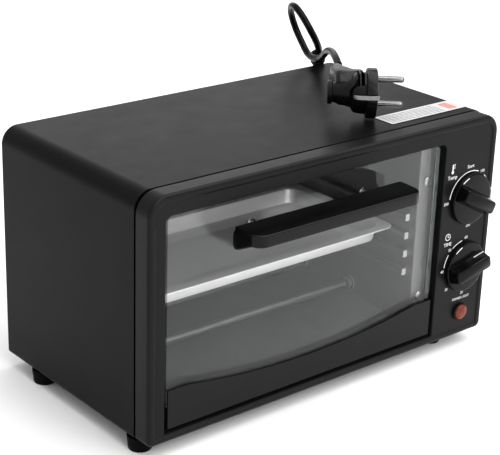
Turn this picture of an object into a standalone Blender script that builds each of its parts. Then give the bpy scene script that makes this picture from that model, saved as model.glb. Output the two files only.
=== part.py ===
"""Small bench-top toaster oven with a drop-down glass door, two knobs, a lamp, a tray and its lead.

The sizes below are millimetres, measured from the front face of the body (depth), from the
underside of the body (height) and from the middle of the body (across). The row frame has
its origin under the middle of the oven, on the surface that the feet stand on.
"""

import math

import bmesh
import bpy
from mathutils import Vector

MM = 0.001
GAP = 0.3

# Body
WIDTH, HEIGHT, DEPTH = 330.0, 180.0, 180.0
FOOT_HEIGHT = 11.0
SHEET = 1.0
SHELL_TOP_RADIUS, SHELL_FOOT_RADIUS = 13.0, 4.0
SHELL_FLANGE = 12.0
HALF = WIDTH / 2

# Front frame and the door opening in it
FRAME_DEPTH, FRAME_WALL, FRAME_BEVEL = 15.4, 2.0, 2.4
FRAME_TOP_RADIUS, FRAME_FOOT_RADIUS = 15.0, 5.0
OPEN_LEFT, OPEN_RIGHT, OPEN_FOOT, OPEN_TOP, OPEN_RADIUS = -149.4, 109.2, 5.9, 164.5, 4.5
OPEN_WALL_DEPTH = 12.0
SHELL_FRONT = FRAME_DEPTH + 1.0

# Cavity
CAV_LEFT, CAV_RIGHT, CAV_FLOOR, CAV_ROOF = -147.0, 95.0, 18.0, 163.2
CAV_FRONT, CAV_BACK = 12.5, 165.0
GUIDE_TOPS = (62.0, 77.0, 92.0, 107.0)
GUIDE_HEIGHT, GUIDE_REACH = 6.0, 4.5
GUIDE_FRONT, GUIDE_BACK = 20.0, 158.0
FLANGE_FOOT, FLANGE_TOP = 3.0, 170.0
FLANGE_LEFT, FLANGE_RIGHT = -160.0, 112.0
FLANGE_SCREW_X, FLANGE_SCREWS = 103.0, (("upper", 133.5), ("lower", 39.1))

# Heating tubes: level, height and the depths of the two tubes there
HEATER_ROWS = (("upper", 141.0, (62.0, 122.0)), ("lower", 28.0, (81.0, 133.0)))
HEATER_RADIUS = 3.3
SOCKET_THICK, SOCKET_MARGIN, SOCKET_HALF_HEIGHT = 6.0, 7.0, 6.0

# Door
DOOR_LEFT, DOOR_RIGHT, DOOR_FOOT, DOOR_TOP = -147.9, 106.7, 8.5, 163.0
DOOR_MIDDLE = -20.1
GLASS_FRONT, GLASS_BACK = 4.6, 8.6
RAIL_FRONT, RAIL_BACK = 2.5, 10.4
RAIL_END_HEIGHT, RAIL_DIP_HEIGHT, RAIL_FLAT = 37.6, 28.0, 17.0
RAIL_END_BLOCK, RAIL_BLOCK_TOP = 4.6, 24.0
GLASS_CORNER = 4.0
HINGE_DEPTH, HINGE_HEIGHT = 7.0, 12.0

# Handle
HANDLE_HALF, HANDLE_FRONT, HANDLE_BACK = 77.4, -28.0, -3.5
HANDLE_TOP, HANDLE_LIP, HANDLE_CORNER = 148.0, 138.4, 9.5
HANDLE_SCREW_OFFSET, HANDLE_SCREW_HEIGHT = 52.5, 139.5
HANDLE_POCKET_HALF, HANDLE_WALL = 34.0, 4.0
LEG_INNER, LEG_OUTER = 38.0, 72.4

# Controls
KNOB_X, TEMPERATURE_Z, TIMER_Z = 139.0, 115.8, 59.4
SKIRT_RADIUS, SKIRT_FRONT, KNOB_FRONT, KNOB_BACK = 21.3, -4.0, -12.2, -0.4
BLADE_HALF_LENGTH, BLADE_HALF_THICK = 18.4, 5.0
TEMPERATURE_ANGLE, TIMER_ANGLE = -28.0, 12.0
LAMP_X, LAMP_Z, LAMP_RADIUS = 138.9, 20.2, 6.4

# Tray
TRAY_FRONT, TRAY_BACK, TRAY_CORNER = 32.0, 152.0, 9.0
TRAY_RIM_TOP, TRAY_RIM_THICK, TRAY_LIP, TRAY_FOOT = 93.3, 0.9, 4.0, 80.0

# Screws and the rear of the body
SCREW_RADIUS, SCREW_PROUD = 3.4, 1.8
REAR_PANEL_BACK = 179.6
REAR_SCREW_X, REAR_SCREWS = 150.0, (("upper", 166.0), ("lower", 14.0))

# Vents: the first slot's corner, the pitch and the size of one slot, along and up
SIDE_VENTS = {"count": (2, 6), "first": (60.0, 52.0), "pitch": (55.0, 16.0), "size": (34.0, 3.4)}
REAR_VENTS = {"count": (3, 5), "first": (-110.0, 110.0), "pitch": (62.0, 9.0), "size": (44.0, 3.6)}

# Feet
FOOT_DEPTHS = (("front", 20.0), ("rear", 141.0))
FOOT_SIDES = (("left", -155.5), ("right", 130.0))

# Lead
CORD = 5.8
GLAND_X, GLAND_Z, GLAND_END = 112.0, 24.0, 212.0
COIL_X, COIL_DEPTH, COIL_RADIUS, COIL_TURNS = 68.0, 225.0, 33.0, 2.5
COIL_RISE = 5.9

# The body's front face, so that the whole oven is centred front to back on the origin.
FRONT_Y = -(REAR_PANEL_BACK + GAP + SCREW_PROUD + HANDLE_FRONT) / 2


def place(x, depth, height):
    """A point of the body in the row frame, in metres."""
    return Vector((x, depth + FRONT_Y, height + FOOT_HEIGHT)) * MM


def clear_scene():
    for item in list(bpy.data.objects):
        bpy.data.objects.remove(item, do_unlink=True)


def finish_of(name, colour, roughness, metallic=0.0, alpha=1.0):
    material = bpy.data.materials.get(name)
    if material is None:
        material = bpy.data.materials.new(name)
        material.use_nodes = True
        shader = material.node_tree.nodes["Principled BSDF"]
        shader.inputs["Base Color"].default_value = (*colour, 1.0)
        shader.inputs["Roughness"].default_value = roughness
        shader.inputs["Metallic"].default_value = metallic
        shader.inputs["Alpha"].default_value = alpha
    return material


def finishes():
    return {
        "enamel": finish_of("black_enamel", (0.045, 0.045, 0.05), 0.35),
        "plastic": finish_of("black_plastic", (0.02, 0.02, 0.022), 0.45),
        "steel": finish_of("aluminised_steel", (0.55, 0.55, 0.56), 0.32, 1.0),
        "zinc": finish_of("zinc_plate", (0.62, 0.62, 0.64), 0.3, 1.0),
        "rod": finish_of("heater_sheath", (0.25, 0.24, 0.23), 0.4, 1.0),
        "ceramic": finish_of("white_ceramic", (0.8, 0.78, 0.72), 0.6),
        "glass": finish_of("door_glass", (0.75, 0.8, 0.8), 0.03, 0.0, 0.3),
        "tray": finish_of("tray_aluminium", (0.8, 0.8, 0.81), 0.25, 1.0),
        "lens": finish_of("lamp_lens", (0.75, 0.14, 0.05), 0.2),
        "rubber": finish_of("cord_jacket", (0.03, 0.03, 0.032), 0.4),
        "paper": finish_of("label_paper", (0.85, 0.85, 0.84), 0.6),
        "nickel": finish_of("nickel_pin", (0.75, 0.74, 0.7), 0.2, 1.0),
    }


def link(name, mesh, material, helper=False):
    mesh.materials.append(material)
    item = bpy.data.objects.new(name, mesh)
    bpy.context.scene.collection.objects.link(item)
    item.hide_render = helper
    if helper:
        item.display_type = "WIRE"
    mesh.shade_smooth()
    mesh.set_sharp_from_angle(angle=math.radians(35))
    return item


def lofted(name, loops, material, helper=False):
    """A closed solid through loops of points that match one to one."""
    shape = bmesh.new()
    rings = [[shape.verts.new(point) for point in loop] for loop in loops]
    for near, far in zip(rings, rings[1:]):
        for i in range(len(near)):
            j = (i + 1) % len(near)
            shape.faces.new((near[i], near[j], far[j], far[i]))
    shape.faces.new(rings[0])
    shape.faces.new(rings[-1])
    bmesh.ops.recalc_face_normals(shape, faces=shape.faces)
    mesh = bpy.data.meshes.new(name)
    shape.to_mesh(mesh)
    shape.free()
    return link(name, mesh, material, helper)


def prism(name, outline, axis, low, high, material, helper=False):
    """An outline in the other two axes (across, depth, height), drawn out along one axis."""
    order = {
        "x": lambda a, b, along: (along, a, b),
        "y": lambda a, b, along: (a, along, b),
        "z": lambda a, b, along: (a, b, along),
    }[axis]
    loops = [[place(*order(a, b, along)) for a, b in outline] for along in (low, high)]
    return lofted(name, loops, material, helper)


def block(name, x, depth, height, material, helper=False):
    corners = [(x[0], height[0]), (x[1], height[0]), (x[1], height[1]), (x[0], height[1])]
    return prism(name, corners, "y", depth[0], depth[1], material, helper)


def turned(name, profile, centre, axis, material, sides=32, helper=False):
    """A profile of (radius, distance along the axis) turned about an axis through centre."""
    axis = Vector(axis).normalized()
    across = axis.orthogonal().normalized()
    beside = axis.cross(across)
    loops = []
    for radius, along in profile:
        loop = []
        for i in range(sides):
            turn = 2 * math.pi * i / sides
            out = across * math.cos(turn) + beside * math.sin(turn)
            loop.append(place(*centre) + (axis * along + out * radius) * MM)
        loops.append(loop)
    return lofted(name, loops, material, helper)


def arc(centre, radius, start, end, steps):
    """Points on an arc, with angles in degrees."""
    points = []
    for i in range(steps + 1):
        turn = math.radians(start + (end - start) * i / steps)
        points.append((centre[0] + radius * math.cos(turn), centre[1] + radius * math.sin(turn)))
    return points


def rounded(low_x, high_x, low_z, high_z, top, foot, steps=6):
    """A rectangle with one radius at its upper corners and one at its lower corners."""
    return (
        arc((high_x - foot, low_z + foot), foot, -90, 0, steps)
        + arc((high_x - top, high_z - top), top, 0, 90, steps)
        + arc((low_x + top, high_z - top), top, 90, 180, steps)
        + arc((low_x + foot, low_z + foot), foot, 180, 270, steps)
    )


def combine(item, operation, tools):
    for tool in tools:
        modifier = item.modifiers.new(f"{operation.lower()}_{tool.name}", "BOOLEAN")
        modifier.operation = operation
        modifier.solver = "EXACT"
        modifier.object = tool
    return item


def cut(item, *tools):
    return combine(item, "DIFFERENCE", tools)


def join(item, *tools):
    return combine(item, "UNION", tools)


# The body


def vents(grid):
    """The low and high edges, along and up, of each slot in a grid of vents."""
    slots = []
    for column in range(grid["count"][0]):
        for row in range(grid["count"][1]):
            along = grid["first"][0] + grid["pitch"][0] * column
            up = grid["first"][1] + grid["pitch"][1] * row
            slots.append(((along, along + grid["size"][0]), (up, up + grid["size"][1])))
    return slots


def outer_shell(steel):
    outer_path = (
        [(HALF - SHELL_FLANGE, 0.0)]
        + arc((HALF - SHELL_FOOT_RADIUS, SHELL_FOOT_RADIUS), SHELL_FOOT_RADIUS, -90, 0, 4)
        + arc((HALF - SHELL_TOP_RADIUS, HEIGHT - SHELL_TOP_RADIUS), SHELL_TOP_RADIUS, 0, 90, 8)
    )
    inner_path = (
        [(HALF - SHELL_FLANGE, SHEET)]
        + arc((HALF - SHELL_FOOT_RADIUS, SHELL_FOOT_RADIUS), SHELL_FOOT_RADIUS - SHEET, -90, 0, 4)
        + arc(
            (HALF - SHELL_TOP_RADIUS, HEIGHT - SHELL_TOP_RADIUS), SHELL_TOP_RADIUS - SHEET, 0, 90, 8
        )
    )
    outer = outer_path + [(-x, z) for x, z in reversed(outer_path)]
    inner = inner_path + [(-x, z) for x, z in reversed(inner_path)]
    shell = prism("outer_shell", outer + inner[::-1], "y", SHELL_FRONT, DEPTH, steel)
    for i, (depth, height) in enumerate(vents(SIDE_VENTS)):
        slot = block(f"slot_side_{i}", (HALF - 4, HALF + 4), depth, height, steel, helper=True)
        cut(shell, slot)
    return shell


def front_frame(steel):
    def outline(inset):
        return rounded(
            -HALF + inset,
            HALF - inset,
            inset,
            HEIGHT - inset,
            FRAME_TOP_RADIUS - inset,
            FRAME_FOOT_RADIUS - inset,
            8,
        )

    def loop(inset, depth):
        return [place(x, depth, z) for x, z in outline(inset)]

    frame = lofted(
        "front_frame",
        [
            loop(FRAME_BEVEL, 0.0),
            loop(FRAME_BEVEL * 0.3, FRAME_BEVEL * 0.3),
            loop(0.0, FRAME_BEVEL),
            loop(0.0, FRAME_DEPTH),
        ],
        steel,
    )
    opening = rounded(OPEN_LEFT, OPEN_RIGHT, OPEN_FOOT, OPEN_TOP, OPEN_RADIUS, 1.0)
    hollow = prism(
        "cut_frame_hollow", outline(FRAME_WALL), "y", FRAME_WALL, FRAME_DEPTH + 1, steel, True
    )
    collar_outline = rounded(
        OPEN_LEFT - FRAME_WALL,
        OPEN_RIGHT + FRAME_WALL,
        OPEN_FOOT - FRAME_WALL,
        OPEN_TOP + FRAME_WALL,
        OPEN_RADIUS + FRAME_WALL,
        1.0 + FRAME_WALL,
    )
    collar = prism(
        "join_frame_collar", collar_outline, "y", FRAME_WALL / 2, OPEN_WALL_DEPTH, steel, True
    )
    through = prism("cut_frame_opening", opening, "y", -1, FRAME_DEPTH + 2, steel, True)
    cut(frame, hollow)
    join(frame, collar)
    cut(frame, through)
    for name, x, z, radius in (
        ("temperature", KNOB_X, TEMPERATURE_Z, 4.2),
        ("timer", KNOB_X, TIMER_Z, 4.2),
        ("lamp", LAMP_X, LAMP_Z, 5.2),
    ):
        hole = turned(
            f"cut_frame_{name}", [(radius, -2), (radius, 6)], (x, 0, z), (0, 1, 0), steel, 24, True
        )
        cut(frame, hole)
    for side, x in (("left", OPEN_LEFT), ("right", OPEN_RIGHT)):
        pin_hole = turned(
            f"cut_frame_pin_{side}",
            [(2.5, -5), (2.5, 5)],
            (x, HINGE_DEPTH, HINGE_HEIGHT),
            (1, 0, 0),
            steel,
            20,
            True,
        )
        cut(frame, pin_hole)
    return frame


def base_panel(steel):
    reach = HALF - SHELL_FOOT_RADIUS - SHEET
    return block(
        "base_panel",
        (-reach, reach),
        (SHELL_FRONT + GAP, REAR_PANEL_BACK - SHEET - GAP),
        (SHEET + GAP, 2 * SHEET + GAP),
        steel,
    )


def rear_panel(steel):
    inset = SHEET + GAP + 0.1
    outline = rounded(
        -HALF + inset,
        HALF - inset,
        inset,
        HEIGHT - inset,
        SHELL_TOP_RADIUS - inset,
        SHELL_FOOT_RADIUS - inset,
        6,
    )
    panel = prism("rear_panel", outline, "y", REAR_PANEL_BACK - SHEET, REAR_PANEL_BACK, steel)
    through = (REAR_PANEL_BACK - 4, REAR_PANEL_BACK + 4)
    for i, (across, height) in enumerate(vents(REAR_VENTS)):
        cut(panel, block(f"slot_rear_{i}", across, through, height, steel, helper=True))
    cord_hole = turned(
        "cut_rear_cord",
        [(6.0, -5), (6.0, 5)],
        (GLAND_X, REAR_PANEL_BACK, GLAND_Z),
        (0, 1, 0),
        steel,
        24,
        True,
    )
    return cut(panel, cord_hole)


def feet(plastic):
    profile = [(7.2, 0.0), (8.2, 1.0), (9.2, FOOT_HEIGHT - GAP)]
    for row, depth in FOOT_DEPTHS:
        for side, x in FOOT_SIDES:
            turned(f"foot_{row}_{side}", profile, (x, depth, -FOOT_HEIGHT), (0, 0, 1), plastic, 24)


def screw(name, centre, axis, metal, shank=4.0, radius=SCREW_RADIUS):
    """A pan-head screw, with its head from centre outwards along the axis."""
    profile = [
        (radius * 0.42, -shank),
        (radius * 0.42, 0.0),
        (radius, 0.0),
        (radius, SCREW_PROUD * 0.45),
        (radius * 0.72, SCREW_PROUD * 0.9),
        (radius * 0.3, SCREW_PROUD),
    ]
    return turned(name, profile, centre, axis, metal, 20)


def rear_screws(metal):
    for row, z in REAR_SCREWS:
        for side, x in (("left", -REAR_SCREW_X), ("right", REAR_SCREW_X)):
            hole = turned(
                f"cut_screw_{row}_{side}",
                [(2.0, -3), (2.0, 3)],
                (x, REAR_PANEL_BACK, z),
                (0, 1, 0),
                metal,
                16,
                True,
            )
            cut(bpy.data.objects["rear_panel"], hole)
            screw(f"rear_screw_{row}_{side}", (x, REAR_PANEL_BACK + GAP, z), (0, 1, 0), metal)


# The cavity


def sheet_with_flange(name, wall, flange, metal):
    """A wall sheet with its front flange, each a block of (across, depth, height)."""
    return join(block(name, *wall, metal), block(f"join_{name}", *flange, metal, helper=True))


def cavity(metal):
    front = (CAV_FRONT, CAV_FRONT + SHEET)
    deep = (CAV_FRONT, CAV_BACK)
    inside = (CAV_LEFT + GAP, CAV_RIGHT - GAP)
    flange_ends = (FLANGE_FOOT, FLANGE_TOP)
    sheet_with_flange(
        "cavity_roof",
        (inside, deep, (CAV_ROOF, CAV_ROOF + SHEET)),
        (inside, front, (CAV_ROOF, flange_ends[1])),
        metal,
    )
    sheet_with_flange(
        "cavity_floor",
        (inside, deep, (CAV_FLOOR - SHEET, CAV_FLOOR)),
        (inside, front, (flange_ends[0], CAV_FLOOR)),
        metal,
    )
    left = sheet_with_flange(
        "cavity_side_left",
        ((CAV_LEFT - SHEET, CAV_LEFT), deep, flange_ends),
        ((FLANGE_LEFT, CAV_LEFT), front, flange_ends),
        metal,
    )
    right = sheet_with_flange(
        "cavity_side_right",
        ((CAV_RIGHT, CAV_RIGHT + SHEET), deep, flange_ends),
        ((CAV_RIGHT, FLANGE_RIGHT), front, flange_ends),
        metal,
    )
    for side, wall, face, inward in (
        ("left", left, CAV_LEFT, 1),
        ("right", right, CAV_RIGHT, -1),
    ):
        for level, top in enumerate(GUIDE_TOPS):
            middle = top - GUIDE_HEIGHT / 2
            section = [
                (face - inward * SHEET / 2, middle - GUIDE_HEIGHT / 2),
                (face + inward * GUIDE_REACH, middle - GUIDE_HEIGHT / 4),
                (face + inward * GUIDE_REACH, top),
                (face - inward * SHEET / 2, top),
            ]
            guide = prism(
                f"join_guide_{side}_{level}", section, "y", GUIDE_FRONT, GUIDE_BACK, metal, True
            )
            join(wall, guide)
    for name, z in FLANGE_SCREWS:
        hole = turned(
            f"cut_flange_{name}",
            [(1.9, -3), (1.9, 3)],
            (FLANGE_SCREW_X, CAV_FRONT, z),
            (0, 1, 0),
            metal,
            16,
            True,
        )
        cut(right, hole)
    block(
        "cavity_back",
        inside,
        (CAV_BACK + GAP, CAV_BACK + GAP + SHEET),
        (CAV_FLOOR + GAP, CAV_ROOF - GAP),
        metal,
    )


def flange_screws(metal):
    for name, z in FLANGE_SCREWS:
        centre = (FLANGE_SCREW_X, CAV_FRONT - GAP, z)
        screw(f"flange_screw_{name}", centre, (0, -1, 0), metal, 3.0, 3.2)


def heaters(metal, ceramic):
    """Two tubes above the tray and two below it, each pair between two ceramic blocks."""
    for level, z, depths in HEATER_ROWS:
        for row, depth in zip(("front", "rear"), depths):
            start = (CAV_LEFT + SOCKET_THICK + GAP, depth, z)
            length = CAV_RIGHT - CAV_LEFT - 2 * (SOCKET_THICK + GAP)
            profile = [(HEATER_RADIUS, 0.0), (HEATER_RADIUS, length)]
            turned(f"heater_{level}_{row}", profile, start, (1, 0, 0), metal, 16)
        for side, face, inward in (("left", CAV_LEFT, 1), ("right", CAV_RIGHT, -1)):
            across = sorted((face + inward * GAP, face + inward * SOCKET_THICK))
            block(
                f"heater_socket_{level}_{side}",
                across,
                (depths[0] - SOCKET_MARGIN, depths[1] + SOCKET_MARGIN),
                (z - SOCKET_HALF_HEIGHT, z + SOCKET_HALF_HEIGHT),
                ceramic,
            )


# The control side


def controls(parts):
    block("control_heat_shield", (99.0, 100.0), (20.0, 172.0), (8.0, 168.0), parts["steel"])
    turned(
        "thermostat_body",
        [(15.0, 0.0), (15.0, 22.0)],
        (KNOB_X, 4.5, TEMPERATURE_Z),
        (0, 1, 0),
        parts["zinc"],
        28,
    )
    block(
        "timer_body",
        (KNOB_X - 21, KNOB_X + 21),
        (4.5, 42.0),
        (TIMER_Z - 19, TIMER_Z + 22),
        parts["zinc"],
    )
    lens_profile = [
        (4.6, 4.0),
        (4.6, -0.4),
        (LAMP_RADIUS, -0.4),
        (LAMP_RADIUS, -2.2),
        (LAMP_RADIUS * 0.86, -3.9),
        (LAMP_RADIUS * 0.5, -5.0),
        (LAMP_RADIUS * 0.15, -5.4),
    ]
    turned("lamp_lens", lens_profile, (LAMP_X, 0, LAMP_Z), (0, 1, 0), parts["lens"], 32)
    bezel = turned(
        "lamp_bezel",
        [(LAMP_RADIUS + 1.9, -0.3), (LAMP_RADIUS + 1.9, -1.0), (LAMP_RADIUS + 1.3, -1.7)],
        (LAMP_X, 0, LAMP_Z),
        (0, 1, 0),
        parts["plastic"],
        32,
    )
    bore = turned(
        "cut_lamp_bezel",
        [(LAMP_RADIUS + GAP, -4), (LAMP_RADIUS + GAP, 4)],
        (LAMP_X, 0, LAMP_Z),
        (0, 1, 0),
        parts["plastic"],
        32,
        True,
    )
    cut(bezel, bore)
    turned(
        "lamp_body",
        [(4.4, 4.4), (4.4, 26.0)],
        (LAMP_X, 0, LAMP_Z),
        (0, 1, 0),
        parts["plastic"],
        20,
    )
    block("terminal_block", (122.0, 150.0), (140.0, 158.0), (3.0, 19.0), parts["ceramic"])
    block("top_label", (74.4, 154.6), (24.9, 44.4), (HEIGHT + GAP, HEIGHT + 2 * GAP), parts["paper"])


def pivot(name, x, depth, height):
    """An empty on a joint's axis, which carries the pieces that turn or slide there."""
    empty = bpy.data.objects.new(name, None)
    empty.location = place(x, depth, height)
    empty.empty_display_size = 0.01
    bpy.context.scene.collection.objects.link(empty)
    bpy.context.view_layer.update()
    return empty


def carry(empty, *items):
    for item in items:
        item.parent = empty
        item.matrix_parent_inverse = empty.matrix_world.inverted()


def knob(name, z, angle, shaft_name, parts):
    """A flat skirt with a blade grip across it, and the shaft that it turns."""
    body = turned(
        name,
        [
            (SKIRT_RADIUS, KNOB_BACK),
            (SKIRT_RADIUS, SKIRT_FRONT + 0.6),
            (SKIRT_RADIUS - 0.7, SKIRT_FRONT),
        ],
        (KNOB_X, 0, z),
        (0, 1, 0),
        parts["plastic"],
        48,
    )
    turn = math.radians(angle)
    along = (math.cos(turn), math.sin(turn))

    def blade_loop(half_length, half_thick, depth):
        outline = rounded(-half_length, half_length, -half_thick, half_thick, 2.2, 2.2, 3)
        return [
            place(
                KNOB_X + a * along[0] - b * along[1],
                depth,
                z + a * along[1] + b * along[0],
            )
            for a, b in outline
        ]

    blade = lofted(
        f"join_{name}_blade",
        [
            blade_loop(BLADE_HALF_LENGTH + 1.2, BLADE_HALF_THICK + 1.7, SKIRT_FRONT + 1.5),
            blade_loop(BLADE_HALF_LENGTH, BLADE_HALF_THICK, KNOB_FRONT + 1.0),
            blade_loop(BLADE_HALF_LENGTH - 0.8, BLADE_HALF_THICK - 0.8, KNOB_FRONT),
        ],
        parts["plastic"],
        True,
    )
    bore = turned(
        f"cut_{name}_bore",
        [(3.4, 2.0), (3.4, -8.0)],
        (KNOB_X, 0, z),
        (0, 1, 0),
        parts["plastic"],
        20,
        True,
    )
    join(body, blade)
    cut(body, bore)
    shaft = turned(
        shaft_name, [(3.0, -7.6), (3.0, 4.1)], (KNOB_X, 0, z), (0, 1, 0), parts["zinc"], 20
    )
    carry(pivot(f"{name}_axis", KNOB_X, KNOB_BACK, z), body, shaft)


# The door


def glass_outline():
    """The pane: notched round the rail's end blocks below, with round corners above."""
    notch = RAIL_END_BLOCK + GAP
    block_top = RAIL_BLOCK_TOP + GAP
    foot = DOOR_FOOT + SHEET + 2 * GAP
    corner = GLASS_CORNER
    return [
        (DOOR_LEFT, block_top),
        (DOOR_LEFT + notch, block_top),
        (DOOR_LEFT + notch, foot),
        (DOOR_RIGHT - notch, foot),
        (DOOR_RIGHT - notch, block_top),
        (DOOR_RIGHT, block_top),
        *arc((DOOR_RIGHT - corner, DOOR_TOP - corner), corner, 0, 90, 5),
        *arc((DOOR_LEFT + corner, DOOR_TOP - corner), corner, 90, 180, 5),
    ]


def door_glass(glass):
    pane = prism("door_glass", glass_outline(), "y", GLASS_FRONT, GLASS_BACK, glass)
    for side in (-1, 1):
        hole = turned(
            f"cut_glass_{side}",
            [(2.4, -4), (2.4, 8)],
            (DOOR_MIDDLE + side * HANDLE_SCREW_OFFSET, GLASS_FRONT, HANDLE_SCREW_HEIGHT),
            (0, 1, 0),
            glass,
            20,
            True,
        )
        cut(pane, hole)
    return pane


def door_rail(steel):
    """A folded channel round the foot of the glass, whose front edge dips in the middle."""
    dip = []
    for i in range(17):
        share = i / 16
        x = DOOR_RIGHT - RAIL_FLAT + (DOOR_LEFT - DOOR_RIGHT + 2 * RAIL_FLAT) * share
        drop = (RAIL_END_HEIGHT - RAIL_DIP_HEIGHT) * (1 - (2 * share - 1) ** 2)
        dip.append((x, RAIL_END_HEIGHT - drop))
    outline = (
        [(DOOR_LEFT, DOOR_FOOT), (DOOR_RIGHT, DOOR_FOOT), (DOOR_RIGHT, RAIL_END_HEIGHT)]
        + dip
        + [(DOOR_LEFT, RAIL_END_HEIGHT)]
    )
    rail = prism("door_rail", outline, "y", RAIL_FRONT, GLASS_FRONT - GAP, steel)
    back_front = GLASS_BACK + GAP
    pieces = [
        block(
            "join_rail_web",
            (DOOR_LEFT, DOOR_RIGHT),
            (RAIL_FRONT + 0.5, RAIL_BACK),
            (DOOR_FOOT, DOOR_FOOT + SHEET),
            steel,
            True,
        ),
        block(
            "join_rail_back",
            (DOOR_LEFT, DOOR_RIGHT),
            (back_front, RAIL_BACK),
            (DOOR_FOOT, RAIL_BLOCK_TOP),
            steel,
            True,
        ),
    ]
    for side, x in (
        ("left", (DOOR_LEFT, DOOR_LEFT + RAIL_END_BLOCK)),
        ("right", (DOOR_RIGHT - RAIL_END_BLOCK, DOOR_RIGHT)),
    ):
        depth = (RAIL_FRONT + 0.5, RAIL_BACK)
        height = (DOOR_FOOT, RAIL_BLOCK_TOP)
        pieces.append(block(f"join_rail_{side}", x, depth, height, steel, True))
    return join(rail, *pieces)


def hinge_pins(metal):
    pins = []
    for side, x, axis, reach in (
        ("left", DOOR_LEFT - GAP, -1, 4.0),
        ("right", DOOR_RIGHT + GAP, 1, 5.0),
    ):
        pins.append(
            turned(
                f"door_hinge_pin_{side}",
                [(2.1, 0.0), (2.1, reach - 0.4), (1.6, reach)],
                (x, HINGE_DEPTH, HINGE_HEIGHT),
                (axis, 0, 0),
                metal,
                20,
            )
        )
    return pins


def door_handle(plastic):
    """A hooded bar with a finger gap under it, on two stand-offs that meet the glass."""
    left, right = DOOR_MIDDLE - HANDLE_HALF, DOOR_MIDDLE + HANDLE_HALF
    corner = HANDLE_CORNER
    plan = (
        arc((left + corner, HANDLE_FRONT + corner), corner, 180, 270, 6)
        + arc((right - corner, HANDLE_FRONT + corner), corner, 270, 360, 6)
        + [(right, HANDLE_BACK), (left, HANDLE_BACK)]
    )
    handle = prism("door_handle", plan, "z", HANDLE_LIP - 9, HANDLE_TOP + 1, plastic)
    side_view = [
        (HANDLE_FRONT - 1, HANDLE_LIP),
        (HANDLE_FRONT + 8, HANDLE_LIP),
        (HANDLE_BACK + 1, HANDLE_LIP - 8),
        (HANDLE_BACK + 1, HANDLE_TOP),
        (HANDLE_FRONT + 2.5, HANDLE_TOP - 0.4),
        (HANDLE_FRONT, HANDLE_TOP - 1.6),
        (HANDLE_FRONT - 1, HANDLE_TOP - 3.0),
    ]
    section = prism("meet_handle_side", side_view, "x", left - 2, right + 2, plastic, True)
    combine(handle, "INTERSECT", [section])
    grip = block(
        "cut_handle_grip",
        (DOOR_MIDDLE - HANDLE_POCKET_HALF, DOOR_MIDDLE + HANDLE_POCKET_HALF),
        (HANDLE_FRONT + HANDLE_WALL + 1, HANDLE_BACK + 4),
        (HANDLE_LIP - 20, HANDLE_TOP - HANDLE_WALL),
        plastic,
        True,
    )
    cut(handle, grip)
    sections = (
        (HANDLE_BACK - 4.5, 131.6, 145.5),
        (HANDLE_BACK, 129.4, 145.0),
        (GLASS_FRONT - GAP, 125.4, 142.6),
    )
    for side in (-1, 1):
        low, high = sorted((DOOR_MIDDLE + side * LEG_INNER, DOOR_MIDDLE + side * LEG_OUTER))
        loops = []
        for depth, foot, head in sections:
            outline = rounded(low, high, foot, head, 5, 6.5, 4)
            loops.append([place(x, depth, z) for x, z in outline])
        leg = lofted(f"join_handle_leg_{side}", loops, plastic, True)
        join(handle, leg)
        bore = turned(
            f"cut_handle_{side}",
            [(2.3, -12), (2.3, 3)],
            (DOOR_MIDDLE + side * HANDLE_SCREW_OFFSET, GLASS_FRONT, HANDLE_SCREW_HEIGHT),
            (0, 1, 0),
            plastic,
            16,
            True,
        )
        cut(handle, bore)
    return handle


def door(parts):
    pieces = [door_glass(parts["glass"]), door_rail(parts["enamel"])]
    pieces += hinge_pins(parts["zinc"])
    pieces.append(door_handle(parts["plastic"]))
    for side, sign in (("left", -1), ("right", 1)):
        x = DOOR_MIDDLE + sign * HANDLE_SCREW_OFFSET
        centre = (x, GLASS_BACK + GAP, HANDLE_SCREW_HEIGHT)
        pieces.append(
            screw(f"handle_screw_{side}", centre, (0, 1, 0), parts["zinc"], 12.0, 4.4)
        )
    carry(pivot("door_hinge_axis", DOOR_MIDDLE, HINGE_DEPTH, HINGE_HEIGHT), *pieces)


def baking_tray(metal):
    """A shallow pan: a flat rim with a turned-down front lip, and steep sides."""
    low_x, high_x = CAV_LEFT + 1.5, CAV_RIGHT - 1.5
    rim_foot = TRAY_RIM_TOP - TRAY_RIM_THICK

    def plan(inset, radius):
        return rounded(
            low_x + inset, high_x - inset, TRAY_FRONT + inset, TRAY_BACK - inset, radius, radius, 5
        )

    def loop(inset, radius, height):
        return [place(x, depth, height) for x, depth in plan(inset, radius)]

    tray = lofted(
        "baking_tray", [loop(0, TRAY_CORNER, rim_foot), loop(0, TRAY_CORNER, TRAY_RIM_TOP)], metal
    )
    pan = lofted(
        "join_tray_pan",
        [loop(10.5, 9.5, TRAY_FOOT), loop(8, 10, rim_foot - 1.0), loop(8, 10, rim_foot + 0.3)],
        metal,
        True,
    )
    hollow = lofted(
        "cut_tray_hollow",
        [
            loop(11.6, 9, TRAY_FOOT + 1.0),
            loop(9.1, 9, rim_foot - 1.0),
            loop(9.1, 9, TRAY_RIM_TOP + 1),
        ],
        metal,
        True,
    )
    lip = block(
        "join_tray_lip",
        (low_x + TRAY_CORNER, high_x - TRAY_CORNER),
        (TRAY_FRONT, TRAY_FRONT + SHEET),
        (TRAY_RIM_TOP - TRAY_LIP, TRAY_RIM_TOP - 0.2),
        metal,
        True,
    )
    join(tray, pan, lip)
    cut(tray, hollow)
    carry(pivot("baking_tray_axis", DOOR_MIDDLE, TRAY_FRONT, TRAY_RIM_TOP), tray)


# The lead


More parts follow.
